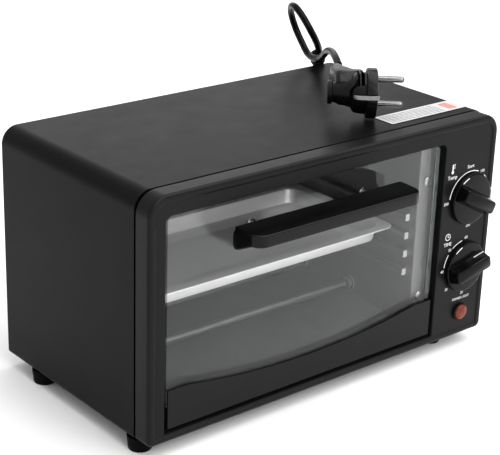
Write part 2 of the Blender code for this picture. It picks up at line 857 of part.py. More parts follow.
def smooth_route(points, spacing):
    """Points a fixed distance apart on a smooth curve through the given points."""
    route = [Vector(point) for point in points]
    ends = [2 * route[0] - route[1]] + route + [2 * route[-1] - route[-2]]
    fine = []
    for before, start, end, after in zip(ends, ends[1:], ends[2:], ends[3:]):
        for i in range(24):
            t = i / 24
            fine.append(
                0.5
                * (
                    2 * start
                    + (end - before) * t
                    + (2 * before - 5 * start + 4 * end - after) * t**2
                    + (3 * start - before - 3 * end + after) * t**3
                )
            )
    fine.append(route[-1])
    lengths = [0.0]
    for near, far in zip(fine, fine[1:]):
        lengths.append(lengths[-1] + (far - near).length)
    count = max(2, round(lengths[-1] / spacing))
    placed, k = [], 0
    for i in range(count + 1):
        wanted = lengths[-1] * i / count
        while k < len(fine) - 2 and lengths[k + 1] < wanted:
            k += 1
        share = (wanted - lengths[k]) / max(lengths[k + 1] - lengths[k], 1e-9)
        placed.append(fine[k].lerp(fine[k + 1], min(share, 1.0)))
    return placed


def tube(name, route, radius, material):
    curve = bpy.data.curves.new(name, "CURVE")
    curve.dimensions = "3D"
    curve.bevel_depth = radius * MM
    curve.bevel_resolution = 2
    curve.use_fill_caps = True
    points = smooth_route(route, 2.4 * CORD)
    spline = curve.splines.new("POLY")
    spline.points.add(len(points) - 1)
    for target, point in zip(spline.points, points):
        target.co = (*place(*point), 1.0)
    curve.materials.append(material)
    item = bpy.data.objects.new(name, curve)
    bpy.context.scene.collection.objects.link(item)
    return item


LEAD_ROUTE = [
    (112.0, 213.2, 24.0),
    (111.4, 220.0, 23.4),
    (108.6, 229.0, 20.6),
    (104.0, 237.0, 17.0),
    (100.4, 242.4, 14.4),
]

RUN_ROUTE = [
    (92.5, 192.0, -8.0),
    (105.2, 191.6, -8.0),
    (118.5, 190.7, -7.1),
    (130.7, 189.9, -1.8),
    (139.8, 189.3, 8.0),
    (144.6, 188.8, 20.4),
    (146.5, 188.5, 33.7),
    (147.2, 188.3, 60.0),
    (147.3, 188.2, 90.0),
    (147.2, 188.2, 118.0),
    (146.7, 188.5, 141.0),
    (146.1, 189.1, 154.4),
    (145.6, 188.9, 167.7),
    (144.9, 187.0, 180.9),
    (141.2, 180.8, 191.6),
    (132.4, 174.4, 201.0),
    (124.7, 173.5, 211.9),
    (121.0, 180.0, 223.0),
    (122.7, 191.6, 228.9),
    (128.5, 203.5, 226.6),
    (135.3, 210.7, 217.4),
    (140.3, 210.4, 205.1),
    (141.5, 203.0, 194.2),
    (138.2, 191.7, 187.7),
    (133.9, 179.4, 186.9),
    (130.2, 166.9, 190.4),
    (124.4, 156.7, 196.0),
    (117.5, 146.6, 201.7),
    (110.4, 136.2, 206.1),
    (102.9, 125.5, 209.1),
    (95.2, 114.6, 211.0),
    (87.7, 103.5, 210.9),
    (80.6, 92.4, 208.8),
]


def cord_coil(material):
    """The outer shape of the turns that lie on the surface behind the oven."""
    half = CORD / 2
    foot = half - FOOT_HEIGHT - half
    top = foot + CORD + COIL_RISE * COIL_TURNS
    profile = [
        (COIL_RADIUS - half, foot + 1.5),
        (COIL_RADIUS - half + 1.5, foot),
        (COIL_RADIUS + half - 1.5, foot),
        (COIL_RADIUS + half, foot + 1.5),
        (COIL_RADIUS + half, top - 1.5),
        (COIL_RADIUS + half - 1.5, top),
        (COIL_RADIUS - half + 1.5, top),
        (COIL_RADIUS - half, top - 1.5),
    ]
    sides = 48
    shape = bmesh.new()
    rings = []
    for i in range(sides):
        turn = 2 * math.pi * i / sides
        ring = []
        for radius, height in profile:
            x = COIL_X + radius * math.cos(turn)
            depth = COIL_DEPTH + radius * math.sin(turn)
            ring.append(shape.verts.new(place(x, depth, height)))
        rings.append(ring)
    for i in range(sides):
        near, far = rings[i], rings[(i + 1) % sides]
        for k in range(len(profile)):
            m = (k + 1) % len(profile)
            shape.faces.new((near[k], near[m], far[m], far[k]))
    bmesh.ops.recalc_face_normals(shape, faces=shape.faces)
    mesh = bpy.data.meshes.new("cord_coil")
    shape.to_mesh(mesh)
    shape.free()
    return link("cord_coil", mesh, material)


def plug(parts):
    """An angled two-pin plug that stands on the rim of its face, on top of the oven."""
    pins_dir = Vector((0.763, -0.646, 0.0)).normalized()
    away = Vector((0.646, 0.763, 0.0)).normalized()
    face = Vector((74.6, 42.3, 201.2))
    disc = face - Vector((0, 0, 1.6))
    radius = disc.z - HEIGHT - 3 * GAP
    body = turned(
        "plug_body",
        [(radius - 1, 0.0), (radius, -1.0), (radius, -7.4), (radius - 1.4, -8.2)],
        disc,
        pins_dir,
        parts["plastic"],
        40,
    )
    grip = turned(
        "join_plug_grip",
        [(15.5, -6.0), (14.0, -14.0), (11.5, -24.0), (9.0, -33.0), (9.0, -35.0)],
        disc,
        pins_dir,
        parts["plastic"],
        28,
        True,
    )
    flange = turned(
        "join_plug_flange",
        [(10.6, -34.0), (10.6, -37.6)],
        disc,
        pins_dir,
        parts["plastic"],
        28,
        True,
    )
    arm_start = disc - pins_dir * 19.0
    arm_end = Vector((78.2, 89.4, 207.9))
    arm_axis = (arm_end - arm_start).normalized()
    arm_length = (arm_end - arm_start).length
    arm = turned(
        "join_plug_arm",
        [(9.5, 0.0), (8.6, arm_length * 0.5), (5.4, arm_length * 0.8), (4.4, arm_length)],
        arm_start,
        arm_axis,
        parts["plastic"],
        24,
        True,
    )
    join(body, grip, flange, arm)
    for side, sign in (("front", -1), ("rear", 1)):
        middle = face + away * sign * (radius - 0.6)
        edges = []
        for half, reach, name in (
            (2.9, 2.6, f"cut_plug_clip_{side}"),
            (2.2, 0.9, f"plug_earth_clip_{side}"),
        ):
            helper = name.startswith("cut")
            start = 3.0 if helper else 0.0
            end = -24.5 if helper else -23.5
            loops = []
            for along in (start, end):
                centre = middle + pins_dir * along
                loops.append(
                    [
                        place(*(centre + away * a + Vector((0, 0, b))))
                        for a, b in (
                            (-reach, -half),
                            (reach, -half),
                            (reach, half),
                            (-reach, half),
                        )
                    ]
                )
            material = parts["plastic"] if helper else parts["nickel"]
            edges.append(lofted(name, loops, material, helper))
        cut(body, edges[0])
    for name, offset in (("upper", 9.5), ("lower", -9.5)):
        turned(
            f"plug_pin_{name}",
            [(2.4, GAP), (2.4, 17.6), (1.3, 19.0)],
            face + Vector((0, 0, offset)),
            pins_dir,
            parts["nickel"],
            20,
        )


def lead(parts):
    turned(
        "cord_gland",
        [
            (5.6, -3.0),
            (5.6, GAP),
            (9.0, GAP),
            (9.0, 3.0),
            (6.2, 5.0),
            (4.0, GLAND_END - REAR_PANEL_BACK),
        ],
        (GLAND_X, REAR_PANEL_BACK, GLAND_Z),
        (0, 1, 0),
        parts["plastic"],
        28,
    )
    tube("cord_lead", LEAD_ROUTE, CORD / 2, parts["rubber"])
    cord_coil(parts["rubber"])
    tube("cord_run", RUN_ROUTE, CORD / 2, parts["rubber"])
    plug(parts)


def main():
    clear_scene()
    parts = finishes()
    outer_shell(parts["enamel"])
    front_frame(parts["enamel"])
    base_panel(parts["enamel"])
    rear_panel(parts["enamel"])
    feet(parts["plastic"])
    rear_screws(parts["zinc"])
    cavity(parts["steel"])
    flange_screws(parts["zinc"])
    heaters(parts["rod"], parts["ceramic"])
    controls(parts)
    knob("temperature_knob", TEMPERATURE_Z, TEMPERATURE_ANGLE, "thermostat_shaft", parts)
    knob("timer_knob", TIMER_Z, TIMER_ANGLE, "timer_shaft", parts)
    door(parts)
    baking_tray(parts["tray"])
    lead(parts)


main()
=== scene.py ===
"""The looks of a small bench-top toaster oven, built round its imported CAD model.

Sizes are millimetres, as in the CAD: across from the middle of the body, depth from the plane
of its front and height from its underside. place() turns them into the frame's metres.
"""

from math import cos, pi, radians, sin

import bmesh
import bpy
from mathutils import Matrix, Vector


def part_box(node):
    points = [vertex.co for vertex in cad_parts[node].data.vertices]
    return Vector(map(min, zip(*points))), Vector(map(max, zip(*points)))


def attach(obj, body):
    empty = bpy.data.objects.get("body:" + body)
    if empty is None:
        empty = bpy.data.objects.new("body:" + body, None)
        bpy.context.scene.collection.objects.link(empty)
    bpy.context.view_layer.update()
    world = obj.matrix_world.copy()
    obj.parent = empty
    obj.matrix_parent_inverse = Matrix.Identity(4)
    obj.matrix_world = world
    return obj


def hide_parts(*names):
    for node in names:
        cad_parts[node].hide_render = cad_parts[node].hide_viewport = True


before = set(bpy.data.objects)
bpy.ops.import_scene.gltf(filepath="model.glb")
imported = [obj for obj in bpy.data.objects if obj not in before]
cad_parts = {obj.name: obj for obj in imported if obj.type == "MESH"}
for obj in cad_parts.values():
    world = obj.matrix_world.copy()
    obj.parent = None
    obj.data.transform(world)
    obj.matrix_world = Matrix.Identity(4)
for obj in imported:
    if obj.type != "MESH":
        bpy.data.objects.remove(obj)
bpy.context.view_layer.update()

MM = 0.001
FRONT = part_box("front_frame")[0][1]
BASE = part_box("outer_shell")[0][2]

# Camera, in degrees, metres and millimetres of lens
CAMERA_AZIMUTH, CAMERA_ELEVATION, CAMERA_ROLL = -40.261, 21.636, 1.868
CAMERA_SPOT, CAMERA_LENS = (-0.6715, -0.7738, 0.5154), 105.35

# Body
HALF, HEIGHT, DEPTH = 165.0, 180.0, 180.0
SHELL_FRONT, SHELL_TOP_RADIUS, SHELL_FOOT_RADIUS, SHELL_FLANGE = 16.4, 13.0, 4.0, 12.0
FRAME_DEPTH, FRAME_TOP_RADIUS, FRAME_FOOT_RADIUS = 15.4, 15.0, 5.0
RIM_WIDTH, PANEL_DEPTH, SEAM, SHEET, TABLE = 6.2, 0.9, 0.9, 1.0, -11.0
OPEN_LEFT, OPEN_RIGHT, OPEN_FOOT, OPEN_TOP, OPEN_RADIUS = -150.4, 109.2, 5.9, 164.5, 4.5

# Controls
KNOB_X, TEMPERATURE_Z, TIMER_Z = 139.0, 115.8, 59.4
TEMPERATURE_ANGLE, TIMER_ANGLE = -28.0, 12.0
LAMP_X, LAMP_Z, LAMP_RADIUS = 138.9, 20.2, 6.1
PRINT_DEPTH, INK = PANEL_DEPTH - 0.02, 0.06

# Door
DOOR_LEFT, DOOR_RIGHT, DOOR_MIDDLE, DOOR_FOOT, DOOR_TOP = -146.6, 106.7, -20.1, 8.5, 163.0
HANDLE_HALF, HANDLE_FRONT, HANDLE_BACK = 77.4, -28.0, -3.5
HANDLE_TOP, HANDLE_LIP = 148.0, 138.4
PANE_FRONT, HANDLE_SCREW_REACH, HANDLE_SCREW_Z = 4.6, 52.5, 139.5

# Cavity: each wall's side, face, direction inwards and width of its front flange
WALLS = (("left", -147.0, 1, 13.0), ("right", 95.0, -1, 17.0))
RIDGE_TOPS = (62.0, 77.0, 92.0, 107.0)

# Cord
CORD, GLAND_X, GLAND_Z, GLAND_START, GLAND_END = 5.8, 112.0, 24.0, 179.6, 212.0
COIL_X, COIL_DEPTH, COIL_RADIUS, COIL_TURNS = 68.0, 225.0, 33.0, 2.5
CORD_LYING = -8.0


def place(x, depth, height):
    """A point of the body in the frame, in metres."""
    return Vector((x * MM, FRONT + depth * MM, BASE + height * MM))


def new_object(name, data):
    made = bpy.data.objects.new(name, data)
    bpy.context.scene.collection.objects.link(made)
    return made


# Camera


def look_from(azimuth, elevation, roll, spot, lens):
    """A camera at spot that faces back along azimuth and elevation, in degrees."""
    turn, lift, tilt = (radians(angle) for angle in (azimuth, elevation, roll))
    back = Vector((sin(turn) * cos(lift), -cos(turn) * cos(lift), sin(lift)))
    level = Vector((0, 0, 1)).cross(back).normalized()
    upright = back.cross(level)
    right = level * cos(tilt) + upright * sin(tilt)
    up = upright * cos(tilt) - level * sin(tilt)
    lens_data = bpy.data.cameras.new("photo_camera")
    lens_data.lens = lens
    lens_data.sensor_width = 36.0
    camera = new_object("photo_camera", lens_data)
    camera.matrix_world = Matrix((right, up, back)).transposed().to_4x4()
    camera.location = spot
    bpy.context.scene.camera = camera


# Node helpers


def new_finish(name):
    material = bpy.data.materials.new(name)
    material.use_nodes = True
    return material, material.node_tree, material.node_tree.nodes["Principled BSDF"]


def fill(tree, node, inputs):
    """Sets a node's inputs: a socket is linked, and anything else is the input's own value."""
    for name, value in inputs.items():
        if isinstance(value, bpy.types.NodeSocket):
            tree.links.new(value, node.inputs[name])
        else:
            node.inputs[name].default_value = value
    return node


def add_node(tree, kind, inputs):
    return fill(tree, tree.nodes.new(f"ShaderNode{kind}"), inputs)


def noise(tree, scale, detail=3.0, stretch=(1, 1, 1)):
    """Noise in the frame's own metres, so its grain has the same size on every piece."""
    where = add_node(tree, "TexCoord", {}).outputs["Object"]
    mapping = add_node(tree, "Mapping", {"Scale": stretch, "Vector": where})
    inputs = {"Scale": scale, "Detail": detail, "Roughness": 0.55, "Vector": mapping.outputs["Vector"]}
    return add_node(tree, "TexNoise", inputs).outputs["Fac"]


def ramp(tree, factor, stops):
    """A colour ramp through (position, colour or grey) stops."""
    node = add_node(tree, "ValToRGB", {"Fac": factor})
    elements = node.color_ramp.elements
    while len(elements) < len(stops):
        elements.new(0.5)
    for element, (position, colour) in zip(elements, stops):
        element.position = position
        if isinstance(colour, (int, float)):
            colour = (colour, colour, colour)
        element.color = (*colour, 1.0)
    return node.outputs["Color"]


def spread(tree, factor, low, high, start=0.3, stop=0.7):
    """factor from start to stop mapped to low to high. The defaults span what a noise gives."""
    inputs = {"Value": factor, "From Min": start, "From Max": stop, "To Min": low, "To Max": high}
    return add_node(tree, "MapRange", inputs).outputs["Result"]


def arithmetic(tree, operation, first, second):
    """Two values combined, and held between 0 and 1."""
    node = add_node(tree, "Math", {0: first, 1: second})
    node.operation = operation
    node.use_clamp = True
    return node.outputs["Value"]


def bump(tree, shader, height, depth_mm, strength, under=None):
    """Relief of depth_mm on the shader, over the relief that is already under it."""
    inputs = {"Strength": strength, "Distance": depth_mm * MM, "Height": height}
    if under is not None:
        inputs["Normal"] = under
    normal = add_node(tree, "Bump", inputs).outputs["Normal"]
    fill(tree, shader, {"Normal": normal})
    return normal


# Finishes


def surface(name, cloud, stops, scuff, rough_low, rough_high, gloss=0.5):
    """A finish whose colour and roughness each follow a noise of (scale, detail)."""
    material, tree, shader = new_finish(name)
    pattern = noise(tree, *cloud)
    inputs = {
        "Base Color": ramp(tree, pattern, stops),
        "Roughness": spread(tree, noise(tree, *scuff), rough_low, rough_high),
        "Specular IOR Level": gloss,
    }
    fill(tree, shader, inputs)
    return material, tree, shader, pattern


def paint(name, dark, light, rough_low, rough_high, peel_mm, gloss):
    """Baked paint: an orange-peel skin over sheet metal, with slightly uneven gloss."""
    stops = [(0.3, dark), (0.7, light)]
    material, tree, shader, _ = surface(
        name, (14.0, 2.0), stops, (42.0, 4.0), rough_low, rough_high, gloss
    )
    coarse = bump(tree, shader, noise(tree, 620.0, 2.0), peel_mm, 0.5)
    bump(tree, shader, noise(tree, 2600.0, 2.0), peel_mm * 0.3, 0.35, coarse)
    return material


def moulded(name, dark, light, rough_low, rough_high, grain=1900.0, grain_mm=0.03, gloss=0.35):
    """Moulded plastic with a fine spark-eroded grain."""
    stops = [(0.3, dark), (0.7, light)]
    material, tree, shader, _ = surface(
        name, (30.0, 3.0), stops, (70.0, 3.0), rough_low, rough_high, gloss
    )
    bump(tree, shader, noise(tree, grain, 3.0), grain_mm, 0.45)
    return material


def metal(name, dark, light, rough_low, rough_high, stretch=(1, 1, 1), grain=380.0, relief=0.3,
          metallic=1.0):
    """Bare metal with a rolled or drawn grain, which runs along the axis that is least stretched."""
    stops = [(0.25, dark), (0.75, light)]
    material, tree, shader, streak = surface(
        name, (grain, 4.0, stretch), stops, (55.0, 5.0), rough_low, rough_high
    )
    fill(tree, shader, {"Metallic": metallic})
    bump(tree, shader, streak, 0.02, relief)
    return material


def clear_glass():
    """Tempered pane: a faint mirror, stronger at a slant, with a trace of haze and greenish edges."""
    material, tree, shader = new_finish("tempered_glass")
    where = add_node(tree, "TexCoord", {}).outputs["Normal"]
    depthwise = add_node(tree, "SeparateXYZ", {"Vector": where}).outputs["Y"]
    edge = spread(tree, arithmetic(tree, "MULTIPLY", depthwise, depthwise), 0.55, 0.0, 0.2, 0.8)
    face_tint = ramp(tree, noise(tree, 5.0, 2.0), [(0.3, (0.8, 0.82, 0.82)), (0.7, (0.88, 0.89, 0.89))])
    tint = tree.nodes.new("ShaderNodeMix")
    tint.data_type = "RGBA"
    fill(tree, tint, {"B": (0.12, 0.2, 0.17, 1.0), "Factor": edge, "A": face_tint})
    slant = add_node(tree, "LayerWeight", {"Blend": 0.04}).outputs["Facing"]
    smear = spread(tree, noise(tree, 9.0, 4.0), 0.003, 0.009)
    face = arithmetic(tree, "ADD", slant, smear)
    inputs = {
        "Base Color": tint.outputs["Result"],
        "Metallic": 1.0,
        "Roughness": 0.03,
        "Alpha": arithmetic(tree, "ADD", face, edge),
    }
    fill(tree, shader, inputs)
    return material


def lens_red():
    material, tree, shader = new_finish("lamp_red")
    stops = [(0.3, (0.1, 0.012, 0.005)), (0.7, (0.18, 0.026, 0.011))]
    inputs = {
        "Base Color": ramp(tree, noise(tree, 160.0, 2.0), stops),
        "Roughness": 0.22,
        "Specular IOR Level": 0.25,
        "Subsurface Weight": 0.35,
        "Subsurface Radius": (0.003, 0.0006, 0.0004),
    }
    fill(tree, shader, inputs)
    bump(tree, shader, noise(tree, 700.0, 1.0), 0.05, 0.3)
    return material


def ink(name, dark, light, rough=0.5):
    """Screen-printed ink, a little thin in places."""
    material, tree, shader = new_finish(name)
    colour = ramp(tree, noise(tree, 900.0, 3.0), [(0.3, dark), (0.6, light)])
    fill(tree, shader, {"Base Color": colour, "Roughness": rough})
    bump(tree, shader, noise(tree, 1500.0, 2.0), 0.01, 0.3)
    return material


def jacket():
    """The cord's PVC jacket, with the faint twist of its cores under the skin."""
    stops = [(0.3, 0.0009), (0.7, 0.0016)]
    material, tree, shader, _ = surface(
        "pvc_jacket", (60.0, 3.0), stops, (120.0, 3.0), 0.24, 0.34, 0.08
    )
    fine = bump(tree, shader, noise(tree, 1400.0, 2.0), 0.02, 0.4)
    bump(tree, shader, noise(tree, 150.0, 1.0), 0.25, 0.35, fine)
    return material


def make_finishes():
    steel_grain = (1.0, 26.0, 26.0)
    return {
        "shell": paint("shell_paint", 0.0025, 0.0032, 0.37, 0.42, 0.02, 0.06),
        "frame": paint("frame_paint", 0.0042, 0.0056, 0.34, 0.4, 0.02, 0.1),
        "rail": paint("rail_paint", 0.0042, 0.0055, 0.27, 0.33, 0.012, 0.12),
        "handle": moulded("handle_plastic", 0.001, 0.0016, 0.19, 0.26, 2100.0, 0.015, 0.15),
        "knob": moulded("knob_plastic", 0.001, 0.0016, 0.16, 0.24, 2300.0, 0.012, 0.12),
        "foot": moulded("foot_rubber", 0.0014, 0.0026, 0.6, 0.75, 900.0, 0.05, 0.05),
        "plug": moulded("plug_plastic", 0.0016, 0.003, 0.26, 0.36, 1200.0, 0.03, 0.18),
        "unit": moulded("unit_plastic", 0.02, 0.035, 0.45, 0.6),
        "glass": clear_glass(),
        "steel": metal("cavity_sheet", 0.15, 0.21, 0.48, 0.58, steel_grain, 380.0, 0.15),
        "shield": metal("shield_sheet", 0.4, 0.55, 0.3, 0.45, (20.0, 20.0, 1.0)),
        "tray": metal("tray_sheet", 0.68, 0.78, 0.36, 0.46, (1.0, 18.0, 18.0), 300.0, 0.08, 0.55),
        "zinc": metal("zinc_plating", 0.24, 0.36, 0.24, 0.36, (1, 1, 1), 240.0, 0.15),
        "rod": metal("heater_tube", 0.12, 0.24, 0.36, 0.55, (0.2, 3, 3), 300.0),
        "nickel": metal("nickel_plating", 0.13, 0.2, 0.1, 0.16, (1, 1, 1), 500.0, 0.04),
        "ceramic": moulded("heater_ceramic", 0.06, 0.09, 0.6, 0.8, 700.0, 0.06),
        "lens": lens_red(),
        "print": ink("white_ink", 0.62, 0.82),
        "film": ink("label_film", 0.44, 0.52, 0.38),
        "film_print": ink("label_print", 0.12, 0.2),
        "film_red": ink("label_red", (0.44, 0.15, 0.12), (0.52, 0.22, 0.18)),
        "jacket": jacket(),
    }


# Mesh helpers


def link(name, mesh, finish):
    mesh.materials.append(finish)
    return new_object(name, mesh)


def smooth(piece, angle=32):
    piece.data.shade_smooth()
    piece.data.set_sharp_from_angle(angle=radians(angle))
    return piece


def finished_mesh(piece):
    """The piece's mesh as it is once its modifiers are applied."""
    bpy.context.view_layer.update()
    graph = bpy.context.evaluated_depsgraph_get()
    return bpy.data.meshes.new_from_object(piece.evaluated_get(graph))


def settle(piece):
    """Applies the piece's modifiers."""
    mesh = finished_mesh(piece)
    piece.modifiers.clear()
    piece.data = mesh
    return piece


def shade_flats(piece, angle):
    """Shades the piece so that its flat faces stay flat beside its rounded edges."""
    smooth(piece, angle)
    flats = piece.modifiers.new("flats", "WEIGHTED_NORMAL")
    flats.keep_sharp = True
    return settle(piece)


def soften(piece, width_mm, segments=3, angle=34):
    """Rounds the piece's sharp edges."""
    rounding = piece.modifiers.new("edges", "BEVEL")
    rounding.width = width_mm * MM
    rounding.segments = segments
    rounding.limit_method = "ANGLE"
    rounding.angle_limit = radians(angle)
    rounding.miter_outer = "MITER_ARC"
    return shade_flats(piece, angle)


def combine(piece, operation, *tools):
    """A Boolean with helper solids, which are removed once they are used."""
    for tool in tools:
        step = piece.modifiers.new(operation, "BOOLEAN")
        step.operation = operation
        step.solver = "EXACT"
        step.object = tool
    settle(piece)
    for tool in tools:
        bpy.data.objects.remove(tool, do_unlink=True)
    return piece


def lofted(name, loops, finish, closed=False):
    """A solid through loops of points; closed joins the last loop to the first, as in a ring."""
    shape = bmesh.new()
    rings = [[shape.verts.new(point) for point in loop] for loop in loops]
    pairs = list(zip(rings, rings[1:]))
    if closed:
        pairs.append((rings[-1], rings[0]))
    for near, far in pairs:
        for i in range(len(near)):
            j = (i + 1) % len(near)
            shape.faces.new((near[i], near[j], far[j], far[i]))
    if not closed:
        shape.faces.new(rings[0])
        shape.faces.new(rings[-1])
    bmesh.ops.recalc_face_normals(shape, faces=shape.faces)
    mesh = bpy.data.meshes.new(name)
    shape.to_mesh(mesh)
    shape.free()
    return smooth(link(name, mesh, finish))


def prism(name, outline, axis, low, high, finish):
    order = {
        "x": lambda a, b, along: (along, a, b),
        "y": lambda a, b, along: (a, along, b),
        "z": lambda a, b, along: (a, b, along),
    }[axis]
    loops = [[place(*order(a, b, along)) for a, b in outline] for along in (low, high)]
    return lofted(name, loops, finish)


def block(name, x, depth, height, finish):
    corners = [(x[0], height[0]), (x[1], height[0]), (x[1], height[1]), (x[0], height[1])]
    return prism(name, corners, "y", depth[0], depth[1], finish)


def turned(name, profile, centre, axis, finish, sides=64, closed=False):
    """A profile of (radius, distance along the axis) turned about an axis through centre."""
    axis = Vector(axis).normalized()
    across = axis.orthogonal().normalized()
    beside = axis.cross(across)
    loops = []
    for radius, along in profile:
        loop = []
        for i in range(sides):
            turn = 2 * pi * i / sides
            out = across * cos(turn) + beside * sin(turn)
            loop.append(place(*centre) + (axis * along + out * radius) * MM)
        loops.append(loop)
    return lofted(name, loops, finish, closed)


def drill(name, radius, start, end, centre, finish, sides=32):
    """A round cutter that runs backwards through centre."""
    return turned(name, [(radius, start), (radius, end)], centre, (0, 1, 0), finish, sides)


def arc(centre, radius, start, end, steps):
    points = []
    for i in range(steps + 1):
        turn = radians(start + (end - start) * i / steps)
        points.append((centre[0] + radius * cos(turn), centre[1] + radius * sin(turn)))
    return points


def rounded(low_x, high_x, low_z, high_z, top, foot, steps=12):
    """A rectangle with one radius at its upper corners and one at its lower corners."""
    return (
        arc((high_x - foot, low_z + foot), foot, -90, 0, steps)
        + arc((high_x - top, high_z - top), top, 0, 90, steps)
        + arc((low_x + top, high_z - top), top, 90, 180, steps)
        + arc((low_x + foot, low_z + foot), foot, 180, 270, steps)
    )


def pill(x, z, length, width, steps=8):
    """A slot outline with round ends, centred on x and z."""
    reach, radius = length / 2 - width / 2, width / 2
    return arc((x + reach, z), radius, -90, 90, steps) + arc((x - reach, z), radius, 90, 270, steps)


def merge(name, pieces, finish):
    """Several small pieces as one object."""
    shape = bmesh.new()
    for piece in pieces:
        shape.from_mesh(piece.data)
    mesh = bpy.data.meshes.new(name)
    shape.to_mesh(mesh)
    shape.free()
    for piece in pieces:
        bpy.data.objects.remove(piece, do_unlink=True)
    return smooth(link(name, mesh, finish))


def stands_for(piece, body, *nodes):
    """piece rides on a body and takes the place of CAD nodes."""
    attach(piece, body)
    if nodes:
        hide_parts(*nodes)
    return piece


# The cord


# Points of the cord's middle: from the gland down to the coil, then from the coil to the plug
LEAD_ROUTE = [
    (112.0, 212.0, 24.0), (111.4, 220.0, 23.4), (108.6, 229.0, 20.6), (104.0, 237.0, 17.0),
    (99.4, 243.4, 13.4),
]
RUN_ROUTE = [
    (92.5, 192.0, -8.0), (105.2, 191.6, -8.0), (118.5, 190.7, -7.1), (130.7, 189.9, -1.8),
    (139.8, 189.3, 8.0), (144.6, 188.8, 20.4), (146.5, 188.5, 33.7), (147.2, 188.3, 60.0),
    (147.3, 188.2, 90.0), (147.2, 188.2, 118.0), (146.7, 188.5, 141.0), (146.1, 189.1, 154.4),
    (145.6, 188.9, 167.7), (144.9, 187.0, 180.9), (141.2, 180.8, 191.6), (132.4, 174.4, 201.0),
    (124.7, 173.5, 211.9), (121.0, 180.0, 223.0), (122.7, 191.6, 228.9), (128.5, 203.5, 226.6),
    (135.3, 210.7, 217.4), (140.3, 210.4, 205.1), (141.5, 203.0, 194.2), (138.2, 191.7, 187.7),
    (133.9, 179.4, 186.9), (130.2, 166.9, 190.4), (124.4, 156.7, 196.0), (117.5, 146.6, 201.7),
    (110.4, 136.2, 206.1), (102.9, 125.5, 209.1), (95.2, 114.6, 211.0), (87.7, 103.5, 210.9),
    (80.6, 92.4, 208.8),
]


def coil_route():
    """Turns that lie on each other, from the top one, where the lead comes in, to the table."""
    steps_per_turn, lead_end = 24, LEAD_ROUTE[-1][2]
    top = CORD_LYING + CORD * COIL_TURNS
    points = []
    for i in range(2, 6):
        share = i / 6
        ease = share * share * (3 - 2 * share)
        points.append((radians(28 + 15.5 * i), lead_end + (top - lead_end) * ease))
    first, last = radians(121), radians(270 + 360 * 2)
    count = round((last - first) / (2 * pi) * steps_per_turn)
    for i in range(count + 1):
        share = i / count
        points.append((first + (last - first) * share, top + (CORD_LYING - top) * share))
    return [
        (COIL_X + COIL_RADIUS * cos(turn), COIL_DEPTH + COIL_RADIUS * sin(turn), height)
        for turn, height in points
    ]


def smooth_route(points, spacing):
    """Points a fixed distance apart on a smooth curve through the given points."""
    route = [Vector(point) for point in points]
    ends = [2 * route[0] - route[1]] + route + [2 * route[-1] - route[-2]]
    fine, steps = [], 24
    for before, start, end, after in zip(ends, ends[1:], ends[2:], ends[3:]):
        bend = 2 * before - 5 * start + 4 * end - after
        twist = 3 * start - before - 3 * end + after
        for i in range(steps):
            t = i / steps
            fine.append(0.5 * (2 * start + (end - before) * t + bend * t**2 + twist * t**3))
    fine.append(route[-1])
    lengths = [0.0]
    for near, far in zip(fine, fine[1:]):
        lengths.append(lengths[-1] + (far - near).length)
    count = max(2, round(lengths[-1] / spacing))
    placed, k = [], 0
    for i in range(count + 1):
        wanted = lengths[-1] * i / count
        while k < len(fine) - 2 and lengths[k + 1] < wanted:
            k += 1
        share = (wanted - lengths[k]) / max(lengths[k + 1] - lengths[k], 1e-9)
        placed.append(fine[k].lerp(fine[k + 1], min(share, 1.0)))
    return placed, lengths[-1]


def make_cord(finish, plug_pieces):
    route, length = smooth_route(LEAD_ROUTE + coil_route() + RUN_ROUTE, 2.6)
    curve = bpy.data.curves.new("mains_cord", "CURVE")
    curve.dimensions = "3D"
    curve.bevel_depth = CORD / 2 * MM
    curve.bevel_resolution = 5
    curve.use_fill_caps = True
    spline = curve.splines.new("POLY")
    spline.points.add(len(route) - 1)
    for target, point in zip(spline.points, route):
        target.co = (*place(*point), 1.0)
    piece = link("mains_cord", curve, finish)
    stands_for(piece, "oven", "cord_lead", "cord_coil", "cord_run")


def cord_gland(finish):
    """A flange, then a tapering boot with open ribs that lets the cord bend gently."""
    length, ribs, start = GLAND_END - GLAND_START, 7, 4.2
    profile = [(5.5, -3.0), (5.5, 0.2), (8.7, 0.3), (9.0, 0.6), (9.0, 2.6), (8.6, 3.0), (6.6, 3.2)]
    for i in range(ribs):
        share = i / (ribs - 1)
        along = start + (length - 2.0 - start - 2.4) * share
        radius = 6.1 - 1.9 * share
        profile += [(radius, along), (radius, along + 2.0)]
        profile += [(radius - 0.8, along + 2.3), (radius - 0.8, along + 3.4)]
    profile.append((3.5, length))
    gland = turned("cord_gland_boot", profile, (GLAND_X, GLAND_START, GLAND_Z), (0, 1, 0), finish, 48)
    return stands_for(gland, "oven", "cord_gland")


def cord_tie(finish):
    """A twist of tape that holds the loop where the cord crosses itself."""
    section = [
        (0.6, -7.2), (3.6, -6.9), (5.2, -5.4), (5.0, -4.4), (6.2, -3.2), (5.9, -1.9), (6.6, -0.6),
        (6.1, 0.7), (6.6, 2.0), (5.6, 3.2), (5.7, 4.4), (4.2, 6.0), (2.6, 6.9), (0.6, 7.2),
    ]
    tie = turned("cord_tie", section, (143.6, 184.6, 184.6), (-0.35, -0.25, 0.9), finish, 40)
    return stands_for(tie, "oven")


# The plug


